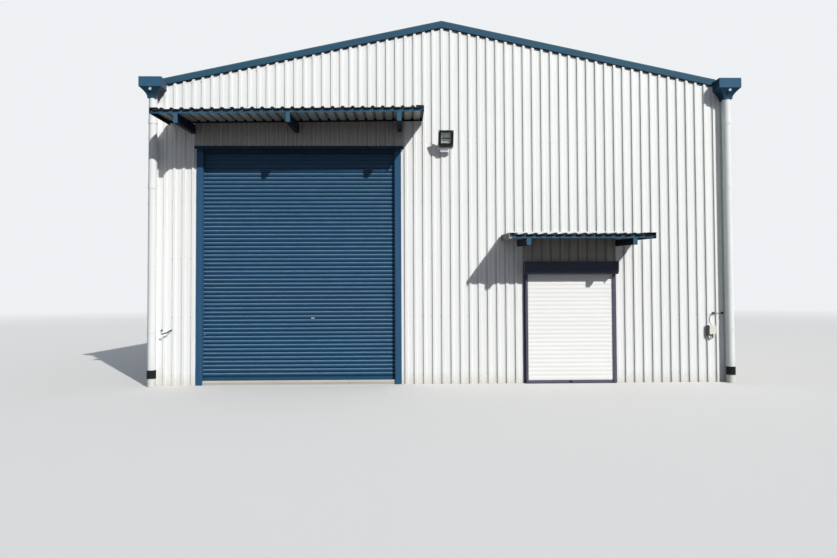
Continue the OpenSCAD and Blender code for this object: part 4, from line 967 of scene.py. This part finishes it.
def add_locks():
    """Lock plate in the middle of the main shutter, two bolt eyes at its side, and the side shutter's lock"""
    lock_x, lock_z = -2.425, 1.224
    side_lock_x, side_lock_z = 2.362, 0.036
    bright = Shape()
    plate = ((-0.030, -0.010), (-0.025, -0.013), (0.025, -0.013), (0.030, -0.010),
             (0.030, 0.010), (0.025, 0.013), (-0.025, 0.013), (-0.030, 0.010))
    bright.loft([[Vector((lock_x + dx * s, y, lock_z + dz * s)) for dx, dz in plate]
                 for y, s in ((-7.446, 1.0), (-7.4515, 1.0), (-7.453, 0.92))])
    bright.turned((lock_x, -7.452, lock_z), FORWARD, [(0.009, 0.0), (0.009, 0.006), (0.0075, 0.0075)], 16)
    for x in (-4.469, -4.425):
        bright.turned((x, -7.447, 0.931), FORWARD, [(0.010, 0.0), (0.010, 0.004), (0.007, 0.007)])
    bright.make("shutter_locks", lock_zinc, "galvanised_steel")

    dark = Shape()
    dark.turned((lock_x, -7.4594, lock_z), FORWARD, [(0.0035, 0.0), (0.0035, 0.0008)], 10)
    ring = ((-0.03, -0.012), (0.03, -0.012), (0.03, 0.012), (-0.03, 0.012))
    dark.loft([[Vector((side_lock_x + dx * s, y, side_lock_z + dz * s)) for dx, dz in ring]
               for y, s in ((-7.571, 1.0), (-7.578, 1.0), (-7.581, 0.8))])
    dark.make("side_lock", black_rubber, "dark_metal")


def add_pipe_details():
    """Clip screws on the downpipes and a white spout in each overflow hole"""
    clip_r, clip_levels = 0.0788, (1.0, 2.2, 3.35, 4.55)
    spout = [(0.0200, 0.0), (0.0200, 0.050), (0.0222, 0.052), (0.0222, 0.058), (0.0185, 0.0592),
             (0.0170, 0.046)]
    screws, spouts = Shape(), Shape()
    for gable in (-1, 1):
        for side in (-1, 1):
            x, y = side * PIPE_X, gable * PIPE_Y
            for z in clip_levels:
                for turn in (-0.9, 0.9):
                    way = Vector((math.sin(turn), gable * math.cos(turn), 0))
                    screws.rivet(Vector((x, y, z)) + clip_r * way, way, 0.006)
            spouts.turned((x, gable * 7.740, 5.424), (0, gable, -0.05), spout, 20)
    screws.make("pipe_clip_screws", grey_washer, "galvanised_steel")
    spouts.make("overflow_spouts", lamp_white, "white_pvc")


def add_floodlight_details():
    """Reflector bowl and lamp behind the glass, and the screws of its frame"""
    turn = Matrix.Rotation(math.radians(26), 4, "X")
    turn.translation = Vector((0.054, -7.739, 4.525))

    def ring(half_w, low, high, y):
        corners = ((-half_w, low), (half_w, low), (half_w, high), (-half_w, high))
        return [turn @ Vector((x, y, z)) for x, z in corners]

    bowl = Shape()
    bowl.loft([ring(0.0875, -0.0845, 0.1095, -0.0150), ring(0.060, -0.055, 0.078, 0.0250),
               ring(0.0585, -0.0535, 0.0765, 0.0235), ring(0.0570, -0.0520, 0.0750, 0.0220)])
    # The bowl's inner skin takes the place of the loft's flat ends
    bowl.faces = bowl.faces[:-2]
    start = len(bowl.points)
    bowl.points.extend(ring(0.0860, -0.0830, 0.1080, -0.0150))
    for i in range(4):
        j = (i + 1) % 4
        bowl.faces.append((start - 4 + i, start - 4 + j, start + j, start + i))
        bowl.faces.append((start + i, start + j, j, i))
    bowl.faces.append(tuple(start - 4 + i for i in range(4)))
    bowl.make("lamp_reflector", reflector_metal, "galvanised_steel")

    lamp = Shape()
    lamp.turned(turn @ Vector((-0.050, 0.004, 0.034)), (1, 0, 0),
                [(0.003, 0.0), (0.007, 0.002), (0.007, 0.014), (0.004, 0.016), (0.004, 0.084), (0.007, 0.086),
                 (0.007, 0.098), (0.003, 0.1)], 14)
    lamp.make("lamp_tube", lamp_white, "white_pvc")

    screws = Shape()
    ahead = turn.to_3x3() @ Vector(FORWARD)
    head = [(0.007, 0.0), (0.007, 0.002), (0.004, 0.0035)]
    for x in (-0.125, 0.125):
        for z in (-0.135, 0.135):
            screws.turned(turn @ Vector((x, -0.0295, z)), ahead, head, 10)
    screws.make("floodlight_screws", plated, "galvanised_steel")


def add_isolator_details():
    """Lid screws of the isolator and two black sleeves on its cable"""
    screws, sleeves = Shape(), Shape()
    for x in (4.985, 5.083):
        for z in (0.907, 1.047):
            screws.turned((x, -7.5735, z), FORWARD, [(0.005, 0.0), (0.005, 0.0012), (0.003, 0.002)], 10)
    screws.make("isolator_screws", plated, "galvanised_steel")
    for x in (5.066, 5.232):
        sleeves.turned((x - 0.024, -7.536, 1.2885), (1, 0, 0),
                       [(0.010, 0.0), (0.016, 0.006), (0.016, 0.042), (0.010, 0.048)])
    sleeves.make("cable_sleeves", black_rubber, "cable_sheath")


add_roof_screws()
add_barge_details()
add_barge_fillers()
add_canopy_screws()
add_canopy_closures()
add_door_details()
add_locks()
add_pipe_details()
add_floodlight_details()
add_isolator_details()
add_wall_screws()
add_camera()
add_key_light()
add_sky()
add_floor()
bpy.context.scene.view_settings.view_transform = "Standard"
